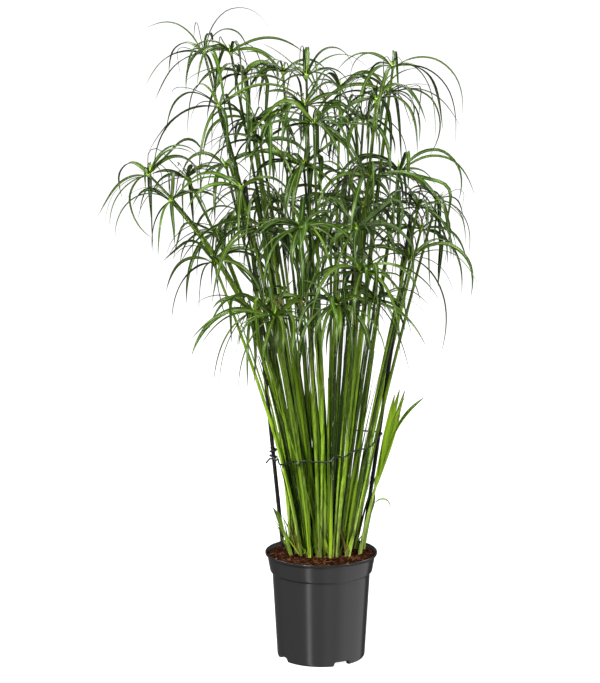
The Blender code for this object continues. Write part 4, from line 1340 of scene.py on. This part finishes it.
def grow_shoot(name, blades, opening, turn, youth):
    """The blocks of one shoot: its stem, its bud and its opened leaves."""
    line, bracts, bud = read_shoot(name)
    path = smooth_path(line, STEM_ROWS)
    yield stem_block(path, np.array(((SHOOT_SHADE, youth, 0.0),)))
    yield bud_block(path[-BUD_STARTS_BELOW], bud, blades, opening, turn, (BUD_SHADE, youth, 0.0))
    if bracts:
        fine = [fine_path(knots, ups) for knots, ups, _ in bracts]
        paths, guides = (np.array(part) for part in zip(*fine))
        widths = np.array([width * OPEN_LEAF_WIDER for _, _, width in bracts])
        yield blade_block(paths, guides, widths, roll_over(paths, OPEN_LEAF_ROLL),
                          chance.normal(0, OPEN_LEAF_TWIST, len(bracts)),
                          np.tile(OPEN_LEAF_TONE, (len(bracts), 1)), outline=SHOOT_OUTLINE)


for name, *bud_shape in SHOOT_BUDS:
    blocks = list(grow_shoot(name, *bud_shape))
    piece = make_piece(f"leafy_{name}", blocks, GREENS, [name])
    print(piece.name, count_triangles(piece), "triangles")

# %% [markdown]
# ## Turned shapes
# The pot and the soil are round, so each is one profile turned round the
# axis. Blender's Spin or a Screw modifier could turn it, but here the same
# strand of rings serves: every ring is one point of the profile, and a lift
# can raise parts of a ring. Corners of the profile are eased into short
# curves, because moulded plastic has no sharp edge.

# %% Turn a profile round the axis
EASED_POINTS = 5
EASE_MOST = 0.45


def eased(points, ease):
    """A profile whose inner corners become short curves
    (1 - t)^2 a + 2 t (1 - t) b + t^2 c, from ease before to ease after b."""
    points = np.array(points, float)
    before = unit(points[:-2] - points[1:-1])
    after = unit(points[2:] - points[1:-1])
    chord = np.linalg.norm(np.diff(points, axis=0), axis=1)
    cut = np.minimum(ease, np.minimum(chord[:-1], chord[1:]) * EASE_MOST)[:, None]
    start = points[1:-1] + before * cut
    finish = points[1:-1] + after * cut
    t = np.linspace(0, 1, EASED_POINTS)[None, :, None]
    curves = ((1 - t) ** 2 * start[:, None] + 2 * t * (1 - t) * points[1:-1, None]
              + t ** 2 * finish[:, None])
    return np.concatenate((points[:1], curves.reshape(-1, 2), points[-1:]))


def subdivided(profile, longest):
    """A profile with places added so that no run is longer than this."""
    chord = np.linalg.norm(np.diff(profile, axis=0), axis=1)
    pieces = np.maximum(1, np.ceil(chord / longest).astype(int))
    runs = [start + (end - start) * np.linspace(0, 1, count, endpoint=False)[:, None]
            for start, end, count in zip(profile[:-1], profile[1:], pieces)]
    return np.concatenate(runs + [profile[-1:]])


def turned_block(profile, steps, material, lift=None):
    """A closed surface of revolution from a profile (radius, height) that runs
    from axis to axis and goes up on its outside."""
    angle = np.arange(steps) * 2 * np.pi / steps
    inner = profile[1:-1]
    rings = np.stack(np.broadcast_arrays(inner[:, :1] * np.cos(angle), inner[:, :1] * np.sin(angle),
                                         inner[:, 1:]), -1)
    if lift is not None:
        rings[..., 2] += lift(inner[:, :1], inner[:, 1:], angle)
    place = np.stack(np.broadcast_arrays(np.cos(angle), np.sin(angle), rings[..., 2]), -1)
    ends = [np.array(((0.0, 0.0, profile[index, 1]),)) for index in (0, -1)]
    return strand_block(rings[None], *ends, place, np.zeros((1, 3)), material)


print("a square profile, eased, has", len(eased(((0, 0), (1, 0), (1, 1), (0, 1)), 0.1)), "points")

# %% [markdown]
# ## Pot plastic
# The pot is dark satin plastic with a fine moulded grain, a little dusty
# near the floor, and it mirrors the studio in soft upright bands. A glossy
# grey would look like paint. So the plastic has a high index of refraction,
# which mirrors strongly, and its roughness varies slowly over the wall. The
# rolled lip is duller, as it is where pots rub on each other.

# %% Pot finish
POT_COLOUR = (0.0215, 0.0208, 0.0215, 1)
POT_DUST = (0.050, 0.045, 0.040, 1)
POT_IOR = 2.2
CLOUD_SCALE = 22.0
DUST_SCALE = 260.0
DUST_GRAIN = (0.62, 0.80)
DUSTY_BELOW = 0.03
DUST_SHARE = 0.10
POT_SATIN_CHANGE = 0.10
POT_SATIN_LEAST = 0.14
BELOW_LIP = (0.1612, 0.1584)
WALL_SHEEN = 0.40
LIP_SHEEN = 0.10
MOULD_SCALE = 900.0
MOULD_DEPTH = 0.00002


def pot_finish():
    """Dark satin plastic, a little dusty, with a fine moulded grain."""
    material, tree, shader = start_finish("satin pot plastic", roughness=0.20)
    shader.inputs["IOR"].default_value = POT_IOR
    spot = object_place(tree)
    height = add(tree, "SeparateXYZ", {0: spot})[2]
    cloud = speckle(tree, spot, CLOUD_SCALE, detail=4.0)
    dust = between(tree, speckle(tree, spot, DUST_SCALE, detail=3.0), *DUST_GRAIN)
    low = between(tree, height, DUSTY_BELOW, 0.0)
    amount = reckon(tree, "ADD", scaled(tree, dust, DUST_SHARE), scaled(tree, low, DUST_SHARE))
    amount = reckon(tree, "MULTIPLY", amount, cloud)
    feed(shader, "Base Color", blend_colours(tree, amount, POT_COLOUR, POT_DUST))
    feed(shader, "Roughness", scaled(tree, cloud, POT_SATIN_CHANGE, POT_SATIN_LEAST))
    feed(shader, "Specular IOR Level",
         scaled(tree, between(tree, height, *BELOW_LIP), WALL_SHEEN, LIP_SHEEN))
    raise_surface(tree, shader, speckle(tree, spot, MOULD_SCALE), MOULD_DEPTH, strength=0.5)
    return material


pot_plastic = pot_finish()
report_finish(pot_plastic)

# %% [markdown]
# ## The pot
# A grower's pot is injection moulded: a thin wall that leans out, a wide band
# below the rolled lip, and a foot ring with four notches that let water out.
# The notches could be cut with a Boolean modifier, but that leaves long thin
# faces. The foot's rings are lifted where a notch stands, so no cutting is
# needed.

# %% Sizes of the pot and its notches
POT_HEIGHT = 0.163
LIP_RADIUS = 0.085
LIP_DROP = 0.0036
LIP_ROUND = 0.0006
LIP_CREST_IN = 0.0007
LIP_WIDTH = 0.0016
LIP_INSIDE_DROP = 0.0062
BAND_TOP_RADIUS = 0.082
BAND_LOW_RADIUS = 0.0781
BAND_BELOW_LIP = 0.0050
BAND_BOTTOM = 0.1360
BAND_BEVEL = (0.0006, 0.0016)
BODY_TOP_RADIUS = 0.0743
BODY_TOP = 0.1320
FOOT_RADIUS = 0.0668
FOOT_BEVEL = (0.0012, 0.0030)
FOOT_RING_INNER = FOOT_RADIUS - 0.0080
FOOT_RING_SLOPE = 0.001
DISC_RADIUS = 0.030
DISC_SLOPE = 0.002
WALL = 0.0017
INNER_FLOOR = 0.0095
INNER_STEP = 0.001
PLATE_HEIGHT = 0.0068
NOTCH_HEIGHT = 0.0068
NOTCH_INNER = FOOT_RADIUS - 0.0092
NOTCH_DEGREES = (28, 118, 208, 298)
NOTCH_HALF_WIDTH = math.radians(10.8)
NOTCH_SHOULDER = math.radians(2.6)


def notch_lift(radius, height, angle):
    """How far the foot is lifted: up to the notch's top, where a notch is."""
    centres = np.radians(np.array(NOTCH_DEGREES) - 90)
    apart = np.abs(np.angle(np.exp(1j * (angle[:, None] - centres)))).min(1)
    inside = np.clip((NOTCH_HALF_WIDTH - apart) / NOTCH_SHOULDER + 0.5, 0, 1)
    inside = inside ** 2 * (3 - 2 * inside)
    in_foot = (radius > NOTCH_INNER) & (height < NOTCH_HEIGHT)
    return np.where(in_foot, np.maximum(0, NOTCH_HEIGHT - height) * inside, 0.0)


print("a notch spans", round(2 * math.degrees(NOTCH_HALF_WIDTH), 1), "degrees")

# %% Turn the pot
POT_EASE = 0.0011
POT_RUN = 0.006
POT_STEPS = 288
UNDERNEATH = ((0, 0), (DISC_RADIUS, 0), (DISC_RADIUS + DISC_SLOPE, PLATE_HEIGHT),
              (FOOT_RING_INNER - FOOT_RING_SLOPE, PLATE_HEIGHT), (FOOT_RING_INNER, 0),
              (FOOT_RADIUS - FOOT_BEVEL[0], 0))
OUTSIDE = ((FOOT_RADIUS, FOOT_BEVEL[1]), (BODY_TOP_RADIUS, BODY_TOP),
           (BAND_LOW_RADIUS - BAND_BEVEL[0], BODY_TOP + BAND_BEVEL[1]),
           (BAND_LOW_RADIUS, BAND_BOTTOM), (BAND_TOP_RADIUS, POT_HEIGHT - BAND_BELOW_LIP))
LIP = ((LIP_RADIUS, POT_HEIGHT - LIP_DROP), (LIP_RADIUS, POT_HEIGHT - LIP_ROUND),
       (LIP_RADIUS - LIP_CREST_IN, POT_HEIGHT), (LIP_RADIUS - LIP_WIDTH, POT_HEIGHT - LIP_ROUND))
INSIDE = ((BAND_TOP_RADIUS - WALL, POT_HEIGHT - LIP_INSIDE_DROP),
          (BAND_LOW_RADIUS - WALL, BAND_BOTTOM + 2 * INNER_STEP),
          (BODY_TOP_RADIUS - WALL, BODY_TOP + INNER_STEP), (FOOT_RADIUS - WALL, INNER_FLOOR),
          (0, INNER_FLOOR))

pot_profile = subdivided(eased(UNDERNEATH + OUTSIDE + LIP + INSIDE, POT_EASE), POT_RUN)
pot = make_piece("nursery_pot", [turned_block(pot_profile, POT_STEPS, pot_plastic, notch_lift)],
                 [pot_plastic], ["pot"])
print("pot", count_triangles(pot), "triangles")

# %% [markdown]
# ## Soil finish
# The pot is filled with coir mix: reddish brown crumbs, dark grains and paler
# bits of fibre; the dark also stands as painted shade in the gaps between the
# crumbs. One brown would look like chocolate. Fine noise sets warm grains
# apart from dark ones, and the note of each crumb lets some be dry.

# %% Soil finish
SOIL_DARK_AND_GAP_SHADE = (0.009, 0.003, 0.001, 1)
SOIL_WARM = (0.078, 0.021, 0.006, 1)
SOIL_PALE = (0.250, 0.115, 0.060, 1)
SOIL_GRAIN_SCALE = 420.0
SOIL_CLUMP_SCALE = 130.0
GRAIN_SHARE = 0.6
SHADE_SHARE = 0.5
WARM_BETWEEN = (0.30, 0.72)
PALE_BETWEEN = (0.60, 0.75)
SOIL_PALE_STRENGTH = 0.35
SOIL_ROUGH_DEPTH = 0.0006


def soil_finish():
    """Coir: dark grains that also paint the shade of the gaps, with warm and pale bits, rough all
    over.
    """
    material, tree, shader = start_finish("coir mix", roughness=0.95, gloss=0.05)
    shade, _, dryness = notes(tree, "tone")
    spot = object_place(tree)
    grain = speckle(tree, spot, SOIL_GRAIN_SCALE, detail=4.0)
    clump = speckle(tree, spot, SOIL_CLUMP_SCALE, detail=3.0)
    mixed = reckon(tree, "ADD", scaled(tree, grain, GRAIN_SHARE), scaled(tree, shade, SHADE_SHARE))
    # Dark grains, which also paint the shade in the gaps between crumbs.
    brown = blend_colours(tree, between(tree, mixed, *WARM_BETWEEN), SOIL_DARK_AND_GAP_SHADE, SOIL_WARM)
    pale = scaled(tree, between(tree, clump, *PALE_BETWEEN), SOIL_PALE_STRENGTH)
    brown = blend_colours(tree, reckon(tree, "MAXIMUM", pale, dryness), brown, SOIL_PALE)
    feed(shader, "Base Color", brown)
    raise_surface(tree, shader, grain, SOIL_ROUGH_DEPTH, strength=0.9)
    return material


soil_mix = soil_finish()
report_finish(soil_mix)

# %% [markdown]
# ## The soil's plug
# The soil is a plug that fills the pot to just below its lip, with a lumpy,
# slightly mounded top. A Displace modifier could make the lumps, but then
# nothing could be laid on them. The plug is turned like the pot, and a sum of
# waves raises its top, so that the same sum can place the crumbs.

# %% Soil plug with a lumpy top
SOIL_TOP = 0.1588
SOIL_EDGE = 0.0799
SOIL_STEPS = 168
SOIL_RUN = 0.0016
SOIL_GAP = 0.0006
SOIL_GAP_AT_LEDGE = 0.0005
SOIL_FLOOR = INNER_FLOOR + 0.0004
SOIL_SHOULDER = (0.0008, 0.004)
TOP_BAND = 0.0015
LUMP_HEIGHT = 0.0011
MOUND_HEIGHT = 0.0012
LUMP_WAVES = ((70, 1.0), (130, 0.7), (260, 0.5), (480, 0.35), (800, 0.2))
WAVE_TURN = 1.1
WAVE_START = 0.4
WAVE_SHORTER = 1.3


def lumps(x, y):
    """A sum of waves in turned directions, each finer and lower than the last."""
    total = 0
    for number, (size, height) in enumerate(LUMP_WAVES):
        turn = WAVE_TURN * number + WAVE_START
        across = x * math.cos(turn) + y * math.sin(turn)
        along = y * math.cos(turn) - x * math.sin(turn)
        wave = np.sin(across * size + 2 * number) * np.sin(along * size * WAVE_SHORTER + number)
        total = total + height * wave
    return total


def soil_rise(radius, angle):
    """How far the soil stands above its level: lumps on a mound that falls as
    1 - (radius / edge)^2."""
    rise = LUMP_HEIGHT * lumps(radius * np.cos(angle), radius * np.sin(angle))
    return rise + MOUND_HEIGHT * (1 - (radius / SOIL_EDGE) ** 2)


def soil_lift(radius, height, angle):
    """The rise, for the top of the plug alone."""
    return np.where(height > SOIL_TOP - TOP_BAND, soil_rise(radius, angle), 0.0)


soil_profile = subdivided(np.array((
    (0, SOIL_FLOOR), (FOOT_RADIUS - WALL - SOIL_GAP, SOIL_FLOOR),
    (BODY_TOP_RADIUS - WALL - SOIL_GAP_AT_LEDGE, BODY_TOP),
    (BAND_LOW_RADIUS - WALL - SOIL_GAP, BAND_BOTTOM + 2 * INNER_STEP),
    (SOIL_EDGE + SOIL_SHOULDER[0], SOIL_TOP - SOIL_SHOULDER[1]), (SOIL_EDGE, SOIL_TOP),
    (0, SOIL_TOP))), SOIL_RUN)
plug = turned_block(soil_profile, SOIL_STEPS, soil_mix, soil_lift)
print("the soil's top is at", SOIL_TOP, "m")

# %% [markdown]
# ## Loose crumbs and fibres
# Coir is a mix of small lumps and curled fibres. A particle system could
# scatter them, but real meshes are a result in their own right. So crumbs
# are small spindles half sunk into the top, and fibres are thin curled tubes
# that lie on it, each of a few dozen faces.

# %% Crumbs
CRUMBS = 900
CRUMB_REACH = 0.0782
CRUMB_LENGTHS = (0.0012, 0.0050)
CRUMB_THICKNESS = (0.22, 0.42)
CRUMB_FLATNESS = (1, 1, 0.5)
CRUMB_DRY_SHARE = 0.10
CRUMB_DRYNESS = (0.2, 0.8)


def scattered(count, reach):
    """Places spread evenly over the soil's top, on its lumps."""
    radius = reach * np.sqrt(chance.random(count))
    angle = chance.uniform(0, 2 * np.pi, count)
    height = SOIL_TOP + soil_rise(radius, angle)
    return np.stack((radius * np.cos(angle), radius * np.sin(angle), height), -1)


def crumb_block(count):
    """Small uneven lumps, half sunk into the soil."""
    axes = unit(chance.normal(0, 1, (count, 3)) * CRUMB_FLATNESS)
    lengths = chance.uniform(*CRUMB_LENGTHS, count)
    radii = lengths * chance.uniform(*CRUMB_THICKNESS, count)
    shade = chance.random(count)
    dry = chance.random(count) < CRUMB_DRY_SHARE
    dryness = np.where(dry, chance.uniform(*CRUMB_DRYNESS, count), 0)
    tones = np.stack((shade, np.zeros(count), dryness), -1)
    return spindle_block(scattered(count, CRUMB_REACH), axes, lengths, radii, tones, soil_mix)


print(CRUMBS, "crumbs of up to", CRUMB_LENGTHS[1], "m")

# %% Fibres
FIBRES = 420
FIBRE_ROWS = 7
FIBRE_SIDES = 4
FIBRE_HELD_AT = 0.4
FIBRE_START_REACH = 0.0765
FIBRE_REACH = 0.0780
FIBRE_LENGTHS = (0.004, 0.014)
FIBRE_CURLS = (-3, 3)
FIBRE_RADII = (0.00016, 0.00036)
FIBRE_LIES_AT = 0.0004
FIBRE_ARCH = 0.0016
FIBRE_DRY_SHARE = 0.25
FIBRE_DRYNESS = 0.6


def fibre_block(count):
    """Thin curled fibres that lie on the soil: each heads to turn + curl * share
    and arches up by a sine."""
    start = scattered(count, FIBRE_START_REACH)
    turn = chance.uniform(0, 2 * np.pi, count)[:, None]
    curl = chance.uniform(*FIBRE_CURLS, count)[:, None]
    share = np.linspace(0, 1, FIBRE_ROWS)[None]
    length = chance.uniform(*FIBRE_LENGTHS, count)[:, None]
    heading = turn + curl * share
    x = start[:, :1] + length * (np.cos(heading) * share - np.cos(turn) * FIBRE_HELD_AT)
    y = start[:, 1:2] + length * (np.sin(heading) * share - np.sin(turn) * FIBRE_HELD_AT)
    shrink = np.minimum(1, FIBRE_REACH / np.maximum(np.hypot(x, y), 1e-6))
    arch = FIBRE_ARCH * np.sin(np.pi * share) * chance.random(count)[:, None]
    paths = np.stack((x * shrink, y * shrink, start[:, 2:] + FIBRE_LIES_AT + arch), -1)
    radii = chance.uniform(*FIBRE_RADII, count)[:, None] * np.ones(FIBRE_ROWS)
    shade = chance.random(count)
    dryness = np.where(chance.random(count) < FIBRE_DRY_SHARE, FIBRE_DRYNESS, 0)
    return tube_block(paths, radii, FIBRE_SIDES, np.array((0.0, 0.0, 1.0)),
                      np.stack((shade, np.zeros(count), dryness), -1), soil_mix)


soil = make_piece("coir_soil", [plug, crumb_block(CRUMBS), fibre_block(FIBRES)],
                  [soil_mix], ["soil"])
print("soil", count_triangles(soil), "triangles")

# %% [markdown]
# ## Cane and wire finishes
# The canes are stained nearly black, and the wire has a dark green-grey
# plastic coat. A plain dark colour would make them holes in the picture, so
# noise, stretched along the cane, adds lighter streaks: on the wire they are
# painted glints.

# %% Cane and wire finishes
CANE_DARK = (0.008, 0.005, 0.007, 1)
CANE_STREAK = (0.035, 0.020, 0.020, 1)
WIRE_DARK = (0.007, 0.011, 0.009, 1)
# The wire's lighter colour is painted glints on its coat.
WIRE_PAINTED_GLINT = (0.060, 0.085, 0.060, 1)
STREAK_SCALE = 260.0
STREAK_BETWEEN = (0.48, 0.78)
STREAK_DEPTH = 0.00010


def streaked_finish(name, dark, streak_colour, roughness, stretch):
    """A dark skin with lighter streaks; on the wire they are painted glints."""
    material, tree, shader = start_finish(name, roughness)
    streak = speckle(tree, object_place(tree), STREAK_SCALE, detail=3.0, stretch=stretch)
    # Lighter streaks along the skin; on the wire they are painted glints.
    feed(shader, "Base Color", blend_colours(tree, between(tree, streak, *STREAK_BETWEEN), dark, streak_colour))
    raise_surface(tree, shader, streak, STREAK_DEPTH, strength=0.7)
    return material


cane_dark = streaked_finish("dark cane", CANE_DARK, CANE_STREAK, 0.42, (1.0, 1.0, 0.06))
tie_wire = streaked_finish("coated wire", WIRE_DARK, WIRE_PAINTED_GLINT, 0.34, (1.0, 1.0, 1.0))
report_finish(cane_dark)
report_finish(tie_wire)

# %% [markdown]
# ## Canes
# Two thin canes hold the clump up. A cane is straight, narrows a little and
# swells faintly at each joint. A cylinder with loop cuts could be pinched by
# hand. A tube whose radius is a formula of the height does the same evenly.

# %% Canes
CANE_RADIUS = 0.0030
CANE_SIDES = 16
CANE_ROWS = 140
CANE_NARROWS = 0.06
JOINT_SWELL = 0.14
JOINT_LENGTH = 0.0035
JOINTS = 5
FIRST_JOINT = 0.11
JOINT_APART = 0.19
JOINT_OFF_BY = 0.03


def cane_block(node):
    """A tube between the middles of the solid's two ends: its radius narrows
    evenly and swells by exp(-(share - joint)^2 / length^2) at each joint."""
    corners, _ = merged(node)
    middle = np.median(corners[:, 2])
    ends = [corners[corners[:, 2] < middle].mean(0), corners[corners[:, 2] > middle].mean(0)]
    share = np.linspace(0, 1, CANE_ROWS)
    path = ends[0] + (ends[1] - ends[0]) * share[:, None]
    even = FIRST_JOINT + JOINT_APART * np.arange(JOINTS)
    joints = np.sort(even + chance.uniform(-JOINT_OFF_BY, JOINT_OFF_BY, JOINTS))
    swell = np.exp(-((share[:, None] - joints) / JOINT_LENGTH) ** 2).sum(1)
    radii = CANE_RADIUS * (1 - CANE_NARROWS * share + JOINT_SWELL * swell)
    print(node, "is", round(float(np.linalg.norm(ends[1] - ends[0])), 3), "m long")
    return tube_block(path[None], radii[None], CANE_SIDES, UP_GUIDE, np.zeros((1, 3)), cane_dark)


for node in ("cane_left", "cane_right"):
    make_piece(f"dark_{node}", [cane_block(node)], [cane_dark], [node])

# %% [markdown]
# ## The tie
# One plastic-coated wire is wound round the left cane and looped round the
# whole clump. A new curve could be drawn by hand, but it would cut into the
# stems. Its line is read from the solid, ring by ring, and made round.

# %% Tie
WIRE_RADIUS = 0.0012
WIRE_CORNERS = 4
WIRE_SIDES = 10
WIRE_ROWS_PER_KNOT = 6
WIRE_GUIDE = np.array((0.05, 0.02, 1.0))


def read_tie():
    """The tie's line: its end ring is the one whose corners have the fewest neighbours."""
    corners, near = merged("tie")
    ends = np.flatnonzero(near.sum(0) <= near.sum(0).min() + 1)
    start = ends[np.argmin(corners[ends, 0] + corners[ends, 2])]
    gaps = np.linalg.norm(corners - corners[start], axis=1)
    first = np.zeros(len(corners), bool)
    first[np.argsort(gaps)[:WIRE_CORNERS]] = True
    rings = walk_rings(near, first, WIRE_CORNERS)
    return np.array([corners[ring].mean(0) for ring in rings if len(ring) == WIRE_CORNERS])


tie_line = read_tie()
tie_path = smooth_path(tie_line, WIRE_ROWS_PER_KNOT * len(tie_line))
tie_radii = np.full((1, len(tie_path)), WIRE_RADIUS)
tie_block = tube_block(tie_path[None], tie_radii, WIRE_SIDES, WIRE_GUIDE, np.zeros((1, 3)), tie_wire)
make_piece("wire_tie", [tie_block], [tie_wire], ["tie"])
tie_length = np.linalg.norm(np.diff(tie_path, axis=0), axis=1).sum()
print("tie with", len(tie_line), "knots,", round(float(tie_length), 3), "m long")

# %% [markdown]
# ## The room
# The plant stands in a white studio that is brighter overhead than round the
# sides, so leaves shine on top and stay deep green below. A photographed
# surrounding would light it too, but it brings things that weren't there.
# Satin plastic shows what stands round it, and its outward-leaning wall looks
# down. So the part of the room below the floor line, which gloss sees best,
# is painted with what such a pot mirrors: a thin strip light on the left, a
# wide soft box on the right and dark corners behind. The camera itself sees
# plain white.

# %% Paint the room
SIDE_LIGHT = 0.11
TOP_LIGHT = 0.42
LOW_LIGHT = 0.08
MIRRORED = ((-180, 0.24), (-160, 0.24), (-152, 0.10), (-120, 0.10), (-110, 0.13), (-38, 0.15),
            (-33, 0.90), (-29, 0.90), (-24, 0.17), (2, 0.18), (14, 0.27), (38, 0.25),
            (62, 0.42), (126, 0.52), (134, 0.07), (156, 0.07), (162, 0.30), (180, 0.30))
bpy.context.scene.view_settings.view_transform = "Standard"
world = bpy.data.worlds.new("white room")
world.use_nodes = True
room = world.node_tree
x, y, z = add(room, "SeparateXYZ", {0: add(room, "TexCoord", {})["Generated"]})
turn = reckon(room, "ARCTAN2", x, scaled(room, y, -1.0))
round_share = reckon(room, "ADD", reckon(room, "DIVIDE", turn, 2 * math.pi), 0.5)
painted = room.nodes.new("ShaderNodeValToRGB")
room.links.new(round_share, painted.inputs[0])
while len(painted.color_ramp.elements) < len(MIRRORED):
    painted.color_ramp.elements.new(0.5)
for stop, (degrees, level) in zip(painted.color_ramp.elements, MIRRORED):
    stop.position = degrees / 360 + 0.5
    stop.color = (level,) * 3 + (1,)
rays = add(room, "LightPath", {})
seen = reckon(room, "MAXIMUM", rays["Is Glossy Ray"], LOW_LIGHT)
below = reckon(room, "MULTIPLY", painted.outputs[0], seen)
above = add(room, "MapRange", {0: z, 3: SIDE_LIGHT, 4: TOP_LIGHT})[0]
level = add(room, "Mix", {0: reckon(room, "LESS_THAN", z, 0.0), 2: above, 3: below})[0]
level = reckon(room, "MAXIMUM", level, rays["Is Camera Ray"])
room.links.new(level, room.nodes["Background"].inputs["Strength"])
room.nodes["Background"].inputs["Color"].default_value = (1, 1, 1, 1)
bpy.context.scene.world = world
print("the mirrored ring has", len(MIRRORED), "stops")

# %% [markdown]
# ## Soft boxes
# A product photographer lights such a plant with a large key light at the
# front left, a weaker one at the right and two behind it. One sun would give
# harder shadows between the leaves. Square area lights give soft ones.

# %% Soft boxes
PLANT_MIDDLE = 0.5
SOFT_BOXES = (("key", -34, 2.1, 2.3, 0.7, 128), ("side", 58, 1.5, 2.4, 0.6, 40),
              ("back left", -150, 2.3, 2.0, 0.7, 22), ("back right", 140, 2.0, 2.0, 0.7, 22))


def soft_box(name, turn, height, distance, size, power):
    """A square soft light round the pot: turn in degrees from the camera,
    rightwards, facing the middle of the plant."""
    data = bpy.data.lights.new(name, "AREA")
    data.size = size
    data.energy = power
    light = bpy.data.objects.new(name, data)
    angle = math.radians(turn)
    light.location = (distance * math.sin(angle), -distance * math.cos(angle), height)
    fall = math.atan2(height - PLANT_MIDDLE, distance)
    light.rotation_euler = (math.pi / 2 - fall, 0, angle)
    bpy.context.collection.objects.link(light)


for box in SOFT_BOXES:
    soft_box(*box)
print(len(bpy.data.lights), "soft boxes")

# %% [markdown]
# ## The white floor
# The photograph's ground is pure white without a horizon. A lit white sheet
# would need much light to burn out, and it would show in the pot's gloss. So
# the floor is wide paper that glows by itself, and only the camera sees it.

# %% White floor
FLOOR_HALF = 300.0
FLOOR_WHITE = (0.40, 0.40, 0.40, 1)
FLOOR_GLOW = 0.97
FLOOR_CORNERS = [(x * FLOOR_HALF, y * FLOOR_HALF, 0) for x, y in ((-1, -1), (1, -1), (1, 1), (-1, 1))]
floor_mesh = bpy.data.meshes.new("floor")
floor_mesh.from_pydata(FLOOR_CORNERS, [], [(0, 1, 2, 3)])
floor = bpy.data.objects.new("floor", floor_mesh)
floor.visible_glossy = False
floor.visible_diffuse = False
bpy.context.collection.objects.link(floor)
paper, _, paper_shader = start_finish("white paper", roughness=0.9, gloss=0.0)
paper_shader.inputs["Base Color"].default_value = FLOOR_WHITE
paper_shader.inputs["Emission Color"].default_value = (1, 1, 1, 1)
paper_shader.inputs["Emission Strength"].default_value = FLOOR_GLOW
floor_mesh.materials.append(paper)
print("the floor is", 2 * FLOOR_HALF, "m wide")
